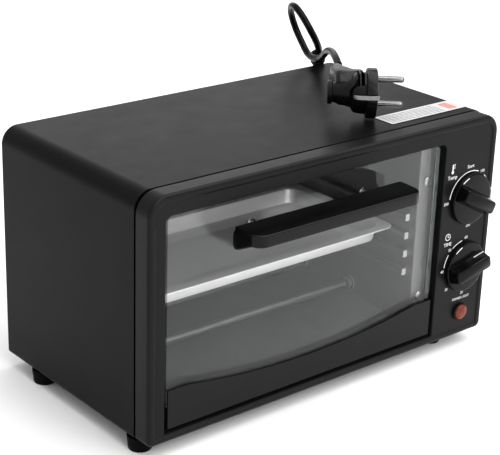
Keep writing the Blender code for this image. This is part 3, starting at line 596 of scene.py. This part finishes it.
def plug(finish, pin_finish):
    """An angled plug: a round face, a grip with two finger hollows, a ribbed sleeve and its metal."""
    pins_dir = Vector((0.763, -0.646, 0.0)).normalized()
    away = Vector((0.646, 0.763, 0.0)).normalized()
    upright = Vector((0, 0, 1))
    face = Vector((74.6, 42.3, 201.2))
    disc = face - upright * 1.6 - pins_dir * 1.2
    radius = disc.z - HEIGHT - 0.9

    def at(origin, along, rear, rise):
        return place(*(origin + pins_dir * along + away * rear + upright * rise))

    def side_middle(sign):
        return face + away * sign * (radius - 0.6)

    profile = [
        (radius - 1.2, 0.0), (radius - 0.5, -0.25), (radius, -0.9), (radius, -7.2),
        (radius - 0.5, -7.9), (radius - 1.5, -8.2), (15.6, -8.4), (15.4, -12.0), (14.8, -16.0),
        (13.9, -17.6), (11.0, -19.2), (10.2, -22.0), (8.4, -29.0), (7.4, -32.6), (8.4, -33.1),
        (8.9, -33.7), (8.9, -35.7), (8.3, -36.4),
    ]
    body = turned("plug_shell", profile, disc, pins_dir, finish, 96)
    sections = (
        (-4.0, (-30.5, -9.5), (-9.0, 9.5), 4.0),
        (4.0, (-31.0, -9.0), (-9.0, 14.6), 4.0),
        (12.0, (-32.0, -9.0), (-7.0, 14.8), 3.5),
        (18.0, (-33.0, -12.5), (-5.0, 12.9), 4.5),
        (25.0, (-34.0, -19.5), (-2.5, 13.4), 5.0),
        (31.0, (-33.5, -23.0), (1.5, 13.2), 4.6),
        (34.0, (-32.9, -24.0), (3.2, 12.9), 4.2),
    )
    loops = []
    for rear, (near, far), (foot, head), corner in sections:
        outline = rounded(near, far, foot, head, corner, corner, 6)
        loops.append([at(disc, a, rear, b) for a, b in outline])
    grip = soften(lofted("plug_grip", loops, finish), 0.8, 3, 50)

    start = disc + pins_dir * -28.5 + away * 32.5 + upright * 8.0
    run = Vector((78.2, 89.4, 207.9)) - start
    profile, ribs = [(4.2, -2.0), (4.6, 0.0)], 3
    for i in range(ribs):
        share = i / (ribs - 1)
        along = 1.0 + (run.length - 3.6) * share
        rib = 5.0 - 1.0 * share
        profile += [(rib, along), (rib, along + 1.0), (rib - 0.8, along + 1.2), (rib - 0.8, along + 1.6)]
    profile.append((3.4, run.length))
    sleeve = turned("plug_sleeve", profile, start, run.normalized(), finish, 48)
    combine(body, "UNION", grip)
    combine(body, "UNION", sleeve)

    slanted = ((-20.5, -3.0), (-13.2, -3.0), (-13.2, 24.0), (-15.0, 24.0), (-15.0, 12.5), (-20.5, 4.0))
    straight = ((-12.3, -3.0), (-9.6, -3.0), (-9.6, 24.0), (-12.3, 24.0))
    hollows = []
    for outline in (slanted, straight):
        loops = [[at(disc, a, rear, b) for a, b in outline] for rear in (-12.5, 8.0)]
        hollows.append(lofted("grip_hollow", loops, finish))
    combine(body, "DIFFERENCE", *hollows)
    soften(body, 0.4, 2, 46)
    corners = ((-2.6, -2.1), (2.6, -2.1), (2.6, 2.1), (-2.6, 2.1))
    for sign in (-1, 1):
        loops = [[at(side_middle(sign), along, a, b) for a, b in corners] for along in (3.0, -20.0)]
        combine(body, "DIFFERENCE", lofted("clip_slot", loops, finish))
    recess = turned("face_recess", [(13.0, 0.9), (13.0, -0.8)], disc, pins_dir, finish, 64)
    combine(body, "DIFFERENCE", recess)
    smooth(body, 30)
    pieces = [stands_for(body, "oven", "plug_body")]

    pin_profile = [(2.4, -0.5), (2.4, 16.4), (2.25, 17.4), (1.8, 18.3), (1.1, 18.8), (0.4, 19.0)]
    for name, offset in (("upper", 9.5), ("lower", -9.5)):
        centre = face + upright * offset
        pin = turned(f"plug_pin_{name}_turned", pin_profile, centre, pins_dir, pin_finish, 40)
        pieces.append(stands_for(pin, "oven", f"plug_pin_{name}"))
    corners = ((-0.45, -1.6), (0.45, -1.6), (0.45, 1.6), (-0.45, 1.6))
    bow = ((0.0, -0.5), (-1.0, 0.5), (-7.0, 0.9), (-14.0, 0.6), (-19.2, -0.6))
    for side, sign in (("front", -1), ("rear", 1)):
        loops = [
            [at(side_middle(sign), along, sign * rise + a, b) for a, b in corners]
            for along, rise in bow
        ]
        clip = soften(lofted(f"earth_clip_{side}", loops, pin_finish), 0.2, 2)
        pieces.append(stands_for(clip, "oven", f"plug_earth_clip_{side}"))
    return pieces


# The body


def shell(finish):
    """The wrap-round cover: one sheet over the top and both sides, with folded feet."""

    def skin(inset):
        foot = (HALF - SHELL_FOOT_RADIUS, SHELL_FOOT_RADIUS)
        top = (HALF - SHELL_TOP_RADIUS, HEIGHT - SHELL_TOP_RADIUS)
        half = (
            [(HALF - SHELL_FLANGE, inset)]
            + arc(foot, SHELL_FOOT_RADIUS - inset, -90, 0, 8)
            + arc(top, SHELL_TOP_RADIUS - inset, 0, 90, 20)
        )
        return half + [(-x, z) for x, z in reversed(half)]

    outline = skin(0.0) + skin(SHEET)[::-1]
    cover = prism("shell_cover", outline, "y", SHELL_FRONT, DEPTH, finish)
    slots = []
    for column in range(2):
        for row in range(6):
            outline = pill(77.0 + 55.0 * column, 53.7 + 16.0 * row, 34.0, 3.4)
            slots.append(prism(f"slot_{column}_{row}", outline, "x", HALF - 4, HALF + 4, finish))
    combine(cover, "DIFFERENCE", *slots)
    soften(cover, 0.35, 2, 40)
    stands_for(cover, "oven", "outer_shell")


def front_frame(finish):
    """The pressed front: a seam groove, a rolled rim, a crease, a flat panel and a door opening."""

    def outer(inset, depth):
        top, foot = max(FRAME_TOP_RADIUS - inset, 0.6), max(FRAME_FOOT_RADIUS - inset, 0.6)
        outline = rounded(-HALF + inset, HALF - inset, inset, HEIGHT - inset, top, foot)
        return [place(x, depth, z) for x, z in outline]

    def opening(grow, depth):
        left, right, foot, top = OPEN_LEFT - grow, OPEN_RIGHT + grow, OPEN_FOOT - grow, OPEN_TOP + grow
        outline = rounded(left, right, foot, top, OPEN_RADIUS + grow, 1.0 + grow)
        return [place(x, depth, z) for x, z in outline]

    def clear_of_foot(inset, depth, limit):
        """As outer, but the lower edge stays below the opening, where the rim is narrower."""
        low, lower_part = BASE + min(inset, limit) * MM, BASE + 6.5 * MM
        points = outer(inset, depth)
        return [Vector((p.x, p.y, min(p.z, low) if p.z < lower_part else p.z)) for p in points]

    seam = FRAME_DEPTH - SEAM
    groove = [(SEAM, FRAME_DEPTH), (SEAM, seam), (0.2, seam), (0.0, seam - 0.2)]
    roll = [(0.0, 2.6), (0.25, 1.5), (0.8, 0.7), (1.6, 0.2), (2.6, 0.0)]
    crease = [(1.6, 0.0, 3.6), (0.9, 0.12, 4.0), (0.3, 0.6, 4.3), (0.0, PANEL_DEPTH, 4.6)]
    fold = [(0.9, 0.0), (0.45, 0.12), (0.12, 0.45), (0.0, 0.9)]
    loops = [outer(inset, depth) for inset, depth in groove + roll]
    loops += [clear_of_foot(RIM_WIDTH - short, depth, limit) for short, depth, limit in crease]
    loops += [opening(grow, PANEL_DEPTH + further) for grow, further in fold]
    loops += [opening(grow, depth) for grow, depth in ((0.0, 12.0), (1.2, 12.0), (1.2, 2.6))]
    loops += [outer(2.0, 2.9), outer(2.0, FRAME_DEPTH)]
    pressing = lofted("front_pressing", loops, finish, closed=True)
    holes = [
        drill("hole_temperature", 4.2, -4, 8, (KNOB_X, 0, TEMPERATURE_Z), finish),
        drill("hole_timer", 4.2, -4, 8, (KNOB_X, 0, TIMER_Z), finish),
        drill("hole_lamp", 5.2, -4, 8, (LAMP_X, 0, LAMP_Z), finish),
    ]
    combine(pressing, "DIFFERENCE", *holes)
    shade_flats(pressing, 40)
    stands_for(pressing, "oven", "front_frame")


def feet(finish):
    """Four rubber feet, each with a hollow for its screw."""
    profile = [
        (2.6, 2.6), (2.6, 0.3), (7.4, 0.0), (8.1, 0.2), (8.5, 0.8), (9.0, 6.0), (9.4, 9.6), (9.4, 10.7),
    ]
    for row, depth in (("front", 22.0), ("rear", 144.0)):
        for side, x in (("left", -155.5), ("right", 130.0)):
            foot = turned(f"rubber_foot_{row}_{side}", profile, (x, depth, TABLE), (0, 0, 1), finish)
            stands_for(foot, "oven", f"foot_{row}_{side}")


def rear_panel(finish):
    """The back: a flat sheet with a pressed border, louvre slots and a hole for the gland."""

    def loop(inset, depth):
        top, foot = SHELL_TOP_RADIUS - min(inset, 8), max(SHELL_FOOT_RADIUS - inset, 1.0)
        outline = rounded(-HALF + inset, HALF - inset, inset, HEIGHT - inset, top, foot, 10)
        return [place(x, depth, z) for x, z in outline]

    section = (
        (1.4, 178.6), (1.4, 179.5), (9.0, 179.5), (9.8, 179.3),
        (10.8, 178.9), (24.0, 178.9), (24.8, 179.2), (25.6, 179.5),
    )
    panel = lofted("back_cover", [loop(inset, depth) for inset, depth in section], finish)
    cutters = []
    for column in range(3):
        for row in range(5):
            outline = pill(-88.0 + 62.0 * column, 111.8 + 9.0 * row, 44.0, 3.6)
            cutters.append(prism(f"vent_{column}_{row}", outline, "y", 170.0, 190.0, finish))
    cutters.append(drill("gland_hole", 6.0, -8, 8, (GLAND_X, 179.0, GLAND_Z), finish))
    combine(panel, "DIFFERENCE", *cutters)
    shade_flats(panel, 30)
    stands_for(panel, "oven", "rear_panel")


def screw(body, name, centre, axis, finish, radius, shank=4.0):
    """A pan-head screw with a cross recess, in place of the CAD node of that name."""
    proud, slot = 1.8, 0.42
    profile = [
        (radius * 0.42, -shank), (radius * 0.42, 0.0), (radius * 0.97, 0.0), (radius, 0.15),
        (radius, 0.7), (radius * 0.93, 1.1), (radius * 0.75, 1.5), (radius * 0.45, 1.72),
        (radius * 0.15, proud),
    ]
    head = turned(f"{name}_head", profile, centre, axis, finish, 48)
    axis = Vector(axis)
    across = axis.orthogonal().normalized()
    beside = axis.cross(across)
    for long, short in ((radius * 0.6, slot), (slot, radius * 0.6)):
        corners = ((-long, -short), (long, -short), (long, short), (-long, short))
        loops = [
            [place(*centre) + (axis * along + across * a + beside * b) * MM for a, b in corners]
            for along in (proud - 1.1, proud + 1.0)
        ]
        combine(head, "DIFFERENCE", lofted("recess", loops, finish))
    stands_for(smooth(head, 30), body, name)


def screws(finish):
    backwards, forwards = (0, 1, 0), (0, -1, 0)
    for row, z in (("upper", 166.0), ("lower", 14.0)):
        for side, x in (("left", -150.0), ("right", 150.0)):
            screw("oven", f"rear_screw_{row}_{side}", (x, 179.9, z), backwards, finish, 3.4)
    for row, z in (("upper", 133.5), ("lower", 39.1)):
        screw("oven", f"flange_screw_{row}", (103.0, 12.2, z), forwards, finish, 3.8, 3.0)
    for side, sign in (("left", -1), ("right", 1)):
        centre = (DOOR_MIDDLE + sign * HANDLE_SCREW_REACH, 8.9, HANDLE_SCREW_Z)
        screw("door", f"handle_screw_{side}", centre, backwards, finish, 4.4, 12.0)


def top_label(finishes):
    """A data label with ruled lines in place of words, and a plain red patch."""
    low, high = HEIGHT + 0.3, HEIGHT + 0.45
    outline = rounded(74.4, 154.6, 24.9, 44.4, 1.2, 1.2, 5)
    film = prism("label_film_sheet", outline, "z", low, high, finishes["film"])
    stands_for(film, "oven", "top_label")
    bars = []
    for line in range(6):
        depth = 27.2 + 2.7 * line
        x, step = 77.0, 0
        while x < 131.0:
            width = 4.0 + (line * 5 + step * 7) % 6
            across, height = (x, min(x + width, 133.0)), (high + 0.02, high + 0.06)
            name = f"bar_{line}_{step}"
            bars.append(block(name, across, (depth, depth + 1.0), height, finishes["film_print"]))
            x += width + 0.7
            step += 1
    stands_for(merge("label_rules", bars, finishes["film_print"]), "oven")
    outline = rounded(138.6, 147.4, 27.8, 41.4, 1.6, 1.6, 4)
    patch = prism("label_patch", outline, "z", high + 0.02, high + 0.07, finishes["film_red"])
    stands_for(patch, "oven")


# Controls


def swung(points, z, angle):
    """Points along and across a knob's blade, turned about the knob's middle."""
    turn = radians(angle)
    along, across = cos(turn), sin(turn)
    return [(KNOB_X + a * along - b * across, z + a * across + b * along) for a, b in points]


def knob(name, z, angle, finish):
    """A skirt with a rolled edge, and a tapering blade grip across it."""
    profile = [
        (19.8, -0.3), (20.5, -0.6), (20.7, -1.2), (20.6, -2.2), (20.3, -2.7), (19.8, -2.95),
        (19.2, -3.05), (6.0, -3.4),
    ]
    body = turned(f"{name}_moulding", profile, (KNOB_X, 0, z), (0, 1, 0), finish, 128)
    section = (
        (19.4, 7.3, -2.2), (19.4, 6.5, -4.9), (18.9, 5.7, -7.2), (18.5, 5.2, -9.6),
        (18.4, 5.0, -11.2), (18.1, 4.7, -11.8), (17.4, 4.0, -12.2),
    )
    loops = []
    for half_length, half_thick, depth in section:
        outline = rounded(-half_length, half_length, -half_thick, half_thick, 2.4, 2.4, 6)
        loops.append([place(x, depth, height) for x, height in swung(outline, z, angle)])
    combine(body, "UNION", lofted(f"{name}_blade", loops, finish))
    combine(body, "DIFFERENCE", drill(f"{name}_bore", 3.4, 2.0, -8.0, (KNOB_X, 0, z), finish))
    smooth(body, 30)
    stands_for(body, f"{name}_knob", f"{name}_knob")


def band(name, x, z, inner, outer, start, end, depth, finish, steps=36):
    """A thin flat arc that lies on the plane at depth, seen from the front: printed marks, and the
    knobs' painted rim highlights.
    """
    outline = arc((x, z), outer, start, end, steps) + arc((x, z), inner, end, start, steps)
    return prism(name, outline, "y", depth - INK, depth, finish)


def words(name, text, size, x, z, depth, finish):
    """Raised lettering, centred on x and z, that faces the front."""
    curve = bpy.data.curves.new(name, "FONT")
    curve.body = text
    curve.size = size * MM
    curve.align_x = "CENTER"
    curve.align_y = "CENTER"
    curve.extrude = INK / 2 * MM
    curve.resolution_u = 3
    label = new_object(name, curve)
    mesh = finished_mesh(label)
    bpy.data.objects.remove(label, do_unlink=True)
    upright = Matrix.Rotation(radians(90), 4, "X")
    mesh.transform(Matrix.Translation(place(x, depth - 0.04, z)) @ upright)
    return link(name, mesh, finish)


def round_dial(name, z, labels, arcs, extras, finish):
    """The marks round one knob: figures, arcs and small drawn signs."""
    marks = []
    for text, angle, size, radius in labels:
        turn = radians(angle)
        x, height = KNOB_X + radius * cos(turn), z + radius * sin(turn)
        marks.append(words(f"{name}_{text}", text, size, x, height, PRINT_DEPTH, finish))
    for i, (start, end) in enumerate(arcs):
        arc_name = f"{name}_arc_{i}"
        marks.append(band(arc_name, KNOB_X, z, 21.6, 22.3, start, end, PRINT_DEPTH, finish))
    stands_for(merge(name, marks + extras, finish), "oven")


def thermometer(x, z, finish):
    """A bulb, a stem and a scale."""
    layer = (PRINT_DEPTH - INK, PRINT_DEPTH)
    bulb = band("thermo_bulb", x, z - 3.0, 0.05, 1.25, 0, 360, PRINT_DEPTH, finish)
    outline = [(x + across, z + 0.6 - along) for along, across in pill(0, 0, 5.4, 1.0)]
    stem = prism("thermo_stem", outline, "y", *layer, finish)
    ticks = [
        block(f"thermo_tick_{i}", (x + 1.1, x + 2.4), layer, (z + i, z + i + 0.4), finish)
        for i in range(4)
    ]
    return [bulb, stem] + ticks


def clock(x, z, finish):
    """A ring and two hands."""
    layer = (PRINT_DEPTH - INK, PRINT_DEPTH)
    face = band("clock_face", x, z, 2.3, 2.8, 0, 360, PRINT_DEPTH, finish)
    long_hand = block("clock_hand", (x - 0.22, x + 0.22), layer, (z, z + 1.9), finish)
    short_hand = block("clock_short", (x, x + 1.3), layer, (z - 0.22, z + 0.22), finish)
    return [face, long_hand, short_hand]


def controls(finishes):
    white = finishes["print"]
    knobs_and_rim_highlights = (
        ("temperature", TEMPERATURE_Z, TEMPERATURE_ANGLE, 146.0),
        ("timer", TIMER_Z, TIMER_ANGLE, 110.0),
    )
    for name, z, angle, _ in knobs_and_rim_highlights:
        knob(name, z, angle, finishes["knob"])
    for name, z, angle, offset in knobs_and_rim_highlights:
        # Painted highlight: a white band on each knob's skirt where its rolled rim catches the light,
        # not a printed mark.
        start, end = angle + offset - 11, angle + offset + 11
        mark = band(f"{name}_rim_painted_highlight", KNOB_X, z, 18.6, 19.4, start, end, -3.02, white, 12)
        stands_for(mark, f"{name}_knob")
    # A thin white strip along the foot of the timer blade's upper flank.
    outline = swung([(6.4, 6.1), (17.8, 6.1), (17.8, 6.62), (6.4, 6.62)], TIMER_Z, TIMER_ANGLE)
    stands_for(prism("timer_blade_white_line", outline, "y", -5.5, -4.9, white), "timer_knob")
    figures = [
        ("Start", 92, 3.8, 26.0), ("100", 57, 3.2, 23.4), ("200", -86, 3.3, 23.0),
        ("250", 180, 3.3, 25.4),
    ]
    round_dial(
        "temperature_marks",
        TEMPERATURE_Z,
        figures,
        [(12, 46), (68, 172)],
        thermometer(118.0, 143.6, white)
        + [
            words("temp_word", "Temp", 4.4, 118.3, 136.4, PRINT_DEPTH, white),
            words("temperature_150", "150", 2.6, 162.0, 118.8, -0.02, white),
        ],
        white,
    )
    figures = [
        ("60", 88, 3.3, 23.6), ("50", 135, 3.3, 23.6), ("40", 180, 3.3, 23.6),
        ("30", 224, 3.3, 23.8), ("20", 273, 3.3, 23.6), ("10", 318, 3.3, 23.6),
        ("0", 12, 3.3, 23.4),
    ]
    round_dial(
        "timer_marks",
        TIMER_Z,
        figures,
        [(99, 128), (144, 172)],
        clock(118.9, 87.7, white)
        + [words("time_word", "TIME", 4.0, 119.2, 81.4, PRINT_DEPTH, white)],
        white,
    )
    stands_for(words("power_word", "POWER LIGHT", 2.9, 139.7, 31.6, PRINT_DEPTH, white), "oven")
    lens_rings = [(4.6, 4.0), (4.6, -0.4), (LAMP_RADIUS, -0.4), (LAMP_RADIUS, -1.5)]
    for i in range(1, 13):
        lean = radians(7.5 * i)
        dome = LAMP_RADIUS * cos(lean)
        ridge = 0.12 if i % 2 else -0.05
        lens_rings.append((max(dome, 0.3), -1.5 - 2.2 * sin(lean) - ridge))
    centre = (LAMP_X, 0, LAMP_Z)
    lens = turned("lamp_dome", lens_rings, centre, (0, 1, 0), finishes["lens"], 24)
    stands_for(lens, "oven", "lamp_lens")
    collar = [(6.4, -0.2), (6.4, -1.1), (6.6, -1.3), (7.0, -1.1), (7.3, -0.6), (7.4, -0.2)]
    bezel = turned("lamp_collar", collar, centre, (0, 1, 0), finishes["knob"], closed=True)
    stands_for(bezel, "oven", "lamp_bezel")


# The door


def screw_holes(name, radius, start, end, finish, sides):
    """Cutters for the two screws that hold the handle to the pane."""
    holes = []
    for side in (-1, 1):
        centre = (DOOR_MIDDLE + side * HANDLE_SCREW_REACH, PANE_FRONT, HANDLE_SCREW_Z)
        holes.append(drill(f"{name}_{side}", radius, start, end, centre, finish, sides))
    return holes


def door_glass(finish):
    """The pane, notched at its lower corners for the hinge pins' blocks."""
    notch, block_top, foot = 4.9, 24.3, 10.1
    outline = [
        (DOOR_LEFT, block_top), (DOOR_LEFT + notch, block_top), (DOOR_LEFT + notch, foot),
        (DOOR_RIGHT - notch, foot), (DOOR_RIGHT - notch, block_top), (DOOR_RIGHT, block_top),
        *arc((DOOR_RIGHT - 4, DOOR_TOP - 4), 4, 0, 90, 10),
        *arc((DOOR_LEFT + 4, DOOR_TOP - 4), 4, 90, 180, 10),
    ]
    pane = prism("door_pane", outline, "y", PANE_FRONT, PANE_FRONT + 4.0, finish)
    combine(pane, "DIFFERENCE", *screw_holes("hole", 2.4, -4, 8, finish, 32))
    soften(pane, 0.5, 2, 40)
    stands_for(pane, "door", "door_glass")


def door_rail(finish):
    """The lower rail: a face whose top edge dips in the middle, folded round the pane's foot."""
    ends, dip, steps, top = 17.0, 9.6, 40, 37.6
    outline = [(DOOR_LEFT, DOOR_FOOT), (DOOR_RIGHT, DOOR_FOOT), (DOOR_RIGHT, top)]
    for i in range(steps + 1):
        share = i / steps
        x = DOOR_RIGHT - ends + (DOOR_LEFT - DOOR_RIGHT + 2 * ends) * share
        outline.append((x, top - dip * (1 - (2 * share - 1) ** 2)))
    outline.append((DOOR_LEFT, top))
    rail = prism("door_rail_sheet", outline, "y", 2.5, 4.3, finish)
    across, upwards = (DOOR_LEFT, DOOR_RIGHT), (DOOR_FOOT, 24.0)
    folds = [
        block("rail_web", across, (3.0, 10.4), (DOOR_FOOT, 9.5), finish),
        block("rail_back", across, (8.9, 10.4), upwards, finish),
        block("rail_left", (DOOR_LEFT, DOOR_LEFT + 4.6), (3.0, 10.4), upwards, finish),
        block("rail_right", (DOOR_RIGHT - 4.6, DOOR_RIGHT), (3.0, 10.4), upwards, finish),
    ]
    combine(rail, "UNION", *folds)
    soften(rail, 0.45, 3, 40)
    stands_for(rail, "door", "door_rail")


def door_handle(finish):
    """A hooded grip: a flat top, a rolled front lip, round corners and two stand-offs."""
    left, right, corner = DOOR_MIDDLE - HANDLE_HALF, DOOR_MIDDLE + HANDLE_HALF, 9.5
    plan = (
        arc((left + corner, HANDLE_FRONT + corner), corner, 180, 270, 16)
        + arc((right - corner, HANDLE_FRONT + corner), corner, 270, 360, 16)
        + [(right, HANDLE_BACK), (left, HANDLE_BACK)]
    )
    grip = prism("handle_grip", plan, "z", HANDLE_LIP - 9, HANDLE_TOP + 1, finish)
    side_view = [
        (HANDLE_FRONT - 1, HANDLE_LIP), (HANDLE_FRONT + 8, HANDLE_LIP),
        (HANDLE_BACK + 1, HANDLE_LIP - 8), (HANDLE_BACK + 1, HANDLE_TOP),
        (HANDLE_FRONT - 1, HANDLE_TOP - 0.8),
    ]
    combine(grip, "INTERSECT", prism("handle_side", side_view, "x", left - 2, right + 2, finish))
    across, upwards = (DOOR_MIDDLE - 34, DOOR_MIDDLE + 34), (HANDLE_LIP - 20, HANDLE_TOP - 4)
    inwards = (HANDLE_FRONT + 5, HANDLE_BACK + 4)
    combine(grip, "DIFFERENCE", block("handle_pocket", across, inwards, upwards, finish))
    soften(grip, 2.0, 6, 34)
    legs = []
    for side in (-1, 1):
        low, high = sorted((DOOR_MIDDLE + side * (HANDLE_HALF - 5.0), DOOR_MIDDLE + side * 38.0))
        loops = []
        for depth, foot, head in ((-8.0, 131.6, 145.5), (-3.5, 129.4, 145.0), (4.3, 125.4, 142.6)):
            outline = rounded(low, high, foot, head, 5, 6.5, 10)
            loops.append([place(x, depth, z) for x, z in outline])
        legs.append(soften(lofted(f"handle_leg_{side}", loops, finish), 0.5, 3, 40))
    combine(grip, "UNION", *legs)
    combine(grip, "DIFFERENCE", *screw_holes("bore", 2.3, -12, 3, finish, 24))
    smooth(grip, 30)
    stands_for(grip, "door", "door_handle")


# The cavity


def tray(finish):
    """A pressed pan with a flat rim, steep walls and a shallow stiffening bead."""
    low_x, high_x, front, back = -145.5, 93.5, 32.0, 152.0

    def level(inset, radius, steps):
        left, right = low_x + inset, high_x - inset
        return rounded(left, right, front + inset, back - inset, radius, radius, steps)

    section = (
        (0.0, 9.0, 92.5), (0.0, 9.0, 93.1), (0.3, 9.0, 93.3), (7.6, 10.0, 93.3),
        (8.5, 10.0, 92.9), (9.0, 10.0, 92.0), (10.0, 10.0, 83.2), (10.7, 9.5, 81.8),
        (12.2, 8.5, 81.0), (24.0, 6.0, 81.0), (24.8, 6.0, 81.4), (26.0, 6.0, 81.4),
        (26.8, 6.0, 81.0), (40.0, 4.0, 81.0), (40.0, 4.0, 80.2), (11.6, 9.0, 80.2),
        (9.9, 9.5, 81.0), (9.1, 10.0, 82.8), (8.2, 10.0, 91.6), (7.6, 10.0, 92.4),
    )
    loops = [
        [place(x, depth, height) for x, depth in level(inset, radius, 12)]
        for inset, radius, height in section
    ]
    pan = lofted("tray_pan", loops, finish, closed=True)
    combine(pan, "UNION", prism("tray_floor", level(39.0, 4, 6), "z", 80.2, 81.0, finish))
    smooth(pan, 28)
    stands_for(pan, "baking_tray", "baking_tray")


def heaters(finishes):
    """Four heating tubes, each held at both ends in ceramic bushes."""
    length = 229.2
    tube = [(3.0, 0.0), (3.3, 0.3), (3.3, length - 0.3), (3.0, length)]
    collar = [(6.0, 0.0), (6.0, 1.2), (4.9, 1.6), (4.7, 4.9), (4.2, 5.5), (3.45, 5.6), (3.45, 0.0)]
    for level, z, depths in (("upper", 141.0, (62.0, 122.0)), ("lower", 28.0, (81.0, 133.0))):
        rows = list(zip(("front", "rear"), depths))
        for row, depth in rows:
            name = f"heating_tube_{level}_{row}"
            rod = turned(name, tube, (-140.6, depth, z), (1, 0, 0), finishes["rod"], 48)
            stands_for(rod, "oven", f"heater_{level}_{row}")
        for side, face, inward, _ in WALLS:
            bushes = []
            for row, depth in rows:
                name, centre = f"ceramic_bush_{level}_{side}_{row}", (face + inward * 0.3, depth, z)
                axis = (inward, 0, 0)
                bushes.append(turned(name, collar, centre, axis, finishes["ceramic"], 40, closed=True))
            holder = merge(f"ceramic_holder_{level}_{side}", bushes, finishes["ceramic"])
            stands_for(holder, "oven", f"heater_socket_{level}_{side}")


def cavity_side(side, face, inward, flange, finish):
    """One wall: a sheet with rounded pressed ridges that carry the tray, and a front flange."""
    ridge = (
        (0, 6.4), (0.5, 5.9), (3.9, 4.6), (4.4, 3.9), (4.5, 0.7), (4.2, 0.15), (3.6, 0), (0, 0),
    )
    name, foot, head = f"side_wall_{side}", 3.0, 170.0
    outline = [(face, foot)]
    for top in RIDGE_TOPS:
        outline += [(face + inward * out, top - drop) for out, drop in ridge]
    outline += [(face, head), (face - inward, head), (face - inward, foot)]
    wall = prism(f"{name}_ridged", outline, "y", 20.0, 158.0, finish)
    sheet_x = tuple(sorted((face, face - inward)))
    rear_part = block(f"{name}_rear", sheet_x, (157.5, 165.0), (foot, head), finish)
    fold = [(0.0, 20.5)] + arc((1.3, 13.8), 1.3, 180, 270, 8) + [(flange, 12.5), (flange, 13.5)]
    fold += arc((1.3, 13.8), 0.3, 270, 180, 4) + [(1.0, 20.5)]
    fold = [(face - inward * across, depth) for across, depth in fold]
    combine(wall, "UNION", prism(f"{name}_fold", fold, "z", foot, head, finish), rear_part)
    smooth(wall, 10)
    stands_for(wall, "oven", f"cavity_side_{side}")


def cavity(finishes):
    """Both side walls, and small caps of brighter metal on their ridges' front ends: a painted highlight
    for the light those ends catch.
    """
    for wall in WALLS:
        cavity_side(*wall, finishes["steel"])
    for side, face, inward, _ in WALLS:
        # Painted highlight: brighter metal on the ridges' front ends stands in for the light they
        # reflect.
        across = tuple(sorted((face + inward * 0.6, face + inward * 4.3)))
        ends = [
            block(f"ridge_highlight_cap_{side}_{i}", across, (19.5, 20.3), (top - 5.6, top - 0.4), finishes["tray"])
            for i, top in enumerate(RIDGE_TOPS)
        ]
        stands_for(merge(f"ridge_highlight_caps_{side}", ends, finishes["tray"]), "oven")


def carried_over(finishes):
    """Finishes for the CAD nodes whose shape already serves."""
    pins = ["door_hinge_pin_left", "door_hinge_pin_right"]
    plain = {
        "shell": ["base_panel"],
        "steel": ["cavity_roof", "cavity_floor", "cavity_back"],
        "shield": ["control_heat_shield"],
        "unit": ["timer_body", "lamp_body"],
        "ceramic": ["terminal_block"],
        "zinc": ["thermostat_body", "thermostat_shaft", "timer_shaft"] + pins,
    }
    for finish, nodes in plain.items():
        for node in nodes:
            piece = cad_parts[node]
            piece.data.materials.clear()
            piece.data.materials.append(finishes[finish])


# Studio


def softbox(name, spot, target, width, height, power):
    light = bpy.data.lights.new(name, "AREA")
    light.shape = "RECTANGLE"
    light.size = width
    light.size_y = height
    light.energy = power
    lamp = new_object(name, light)
    lamp.location = spot
    lamp.rotation_euler = (Vector(target) - Vector(spot)).to_track_quat("-Z", "Y").to_euler()


def studio():
    bpy.context.scene.view_settings.view_transform = "Standard"
    world = bpy.data.worlds.new("studio")
    world.use_nodes = True
    background = world.node_tree.nodes["Background"]
    fill(world.node_tree, background, {"Color": (1.0, 1.0, 1.0, 1.0), "Strength": 0.75})
    bpy.context.scene.world = world
    reach = 12.0
    corners = [(-reach, -reach, 0), (reach, -reach, 0), (reach, reach, 0), (-reach, reach, 0)]
    floor_mesh = bpy.data.meshes.new("studio_floor")
    floor_mesh.from_pydata(corners, [], [(0, 1, 2, 3)])
    material, tree, shader = new_finish("studio_white")
    white = ramp(tree, noise(tree, 3.0, 2.0), [(0.3, 0.88), (0.7, 0.9)])
    fill(tree, shader, {"Base Color": white, "Roughness": 0.9})
    floor = link("studio_floor", floor_mesh, material)
    softbox("key_front", (-0.2, -2.4, 1.5), (0, 0, 0.1), 1.6, 1.2, 34)
    softbox("fill_top", (0.7, -0.7, 2.5), (0, 0, 0.1), 3.2, 3.2, 100)
    softbox("glow_back", (1.1, 2.0, 1.0), (0, 0, 0.15), 1.6, 1.0, 5)


def main():
    look_from(CAMERA_AZIMUTH, CAMERA_ELEVATION, CAMERA_ROLL, CAMERA_SPOT, CAMERA_LENS)
    finishes = make_finishes()
    plug_pieces = plug(finishes["plug"], finishes["nickel"])
    gland = cord_gland(finishes["plug"])
    make_cord(finishes["jacket"], plug_pieces + [gland, cord_tie(finishes["jacket"])])
    shell(finishes["shell"])
    front_frame(finishes["frame"])
    rear_panel(finishes["shell"])
    feet(finishes["foot"])
    screws(finishes["zinc"])
    top_label(finishes)
    controls(finishes)
    door_glass(finishes["glass"])
    door_rail(finishes["rail"])
    door_handle(finishes["handle"])
    tray(finishes["tray"])
    heaters(finishes)
    cavity(finishes)
    carried_over(finishes)
    studio()


main()
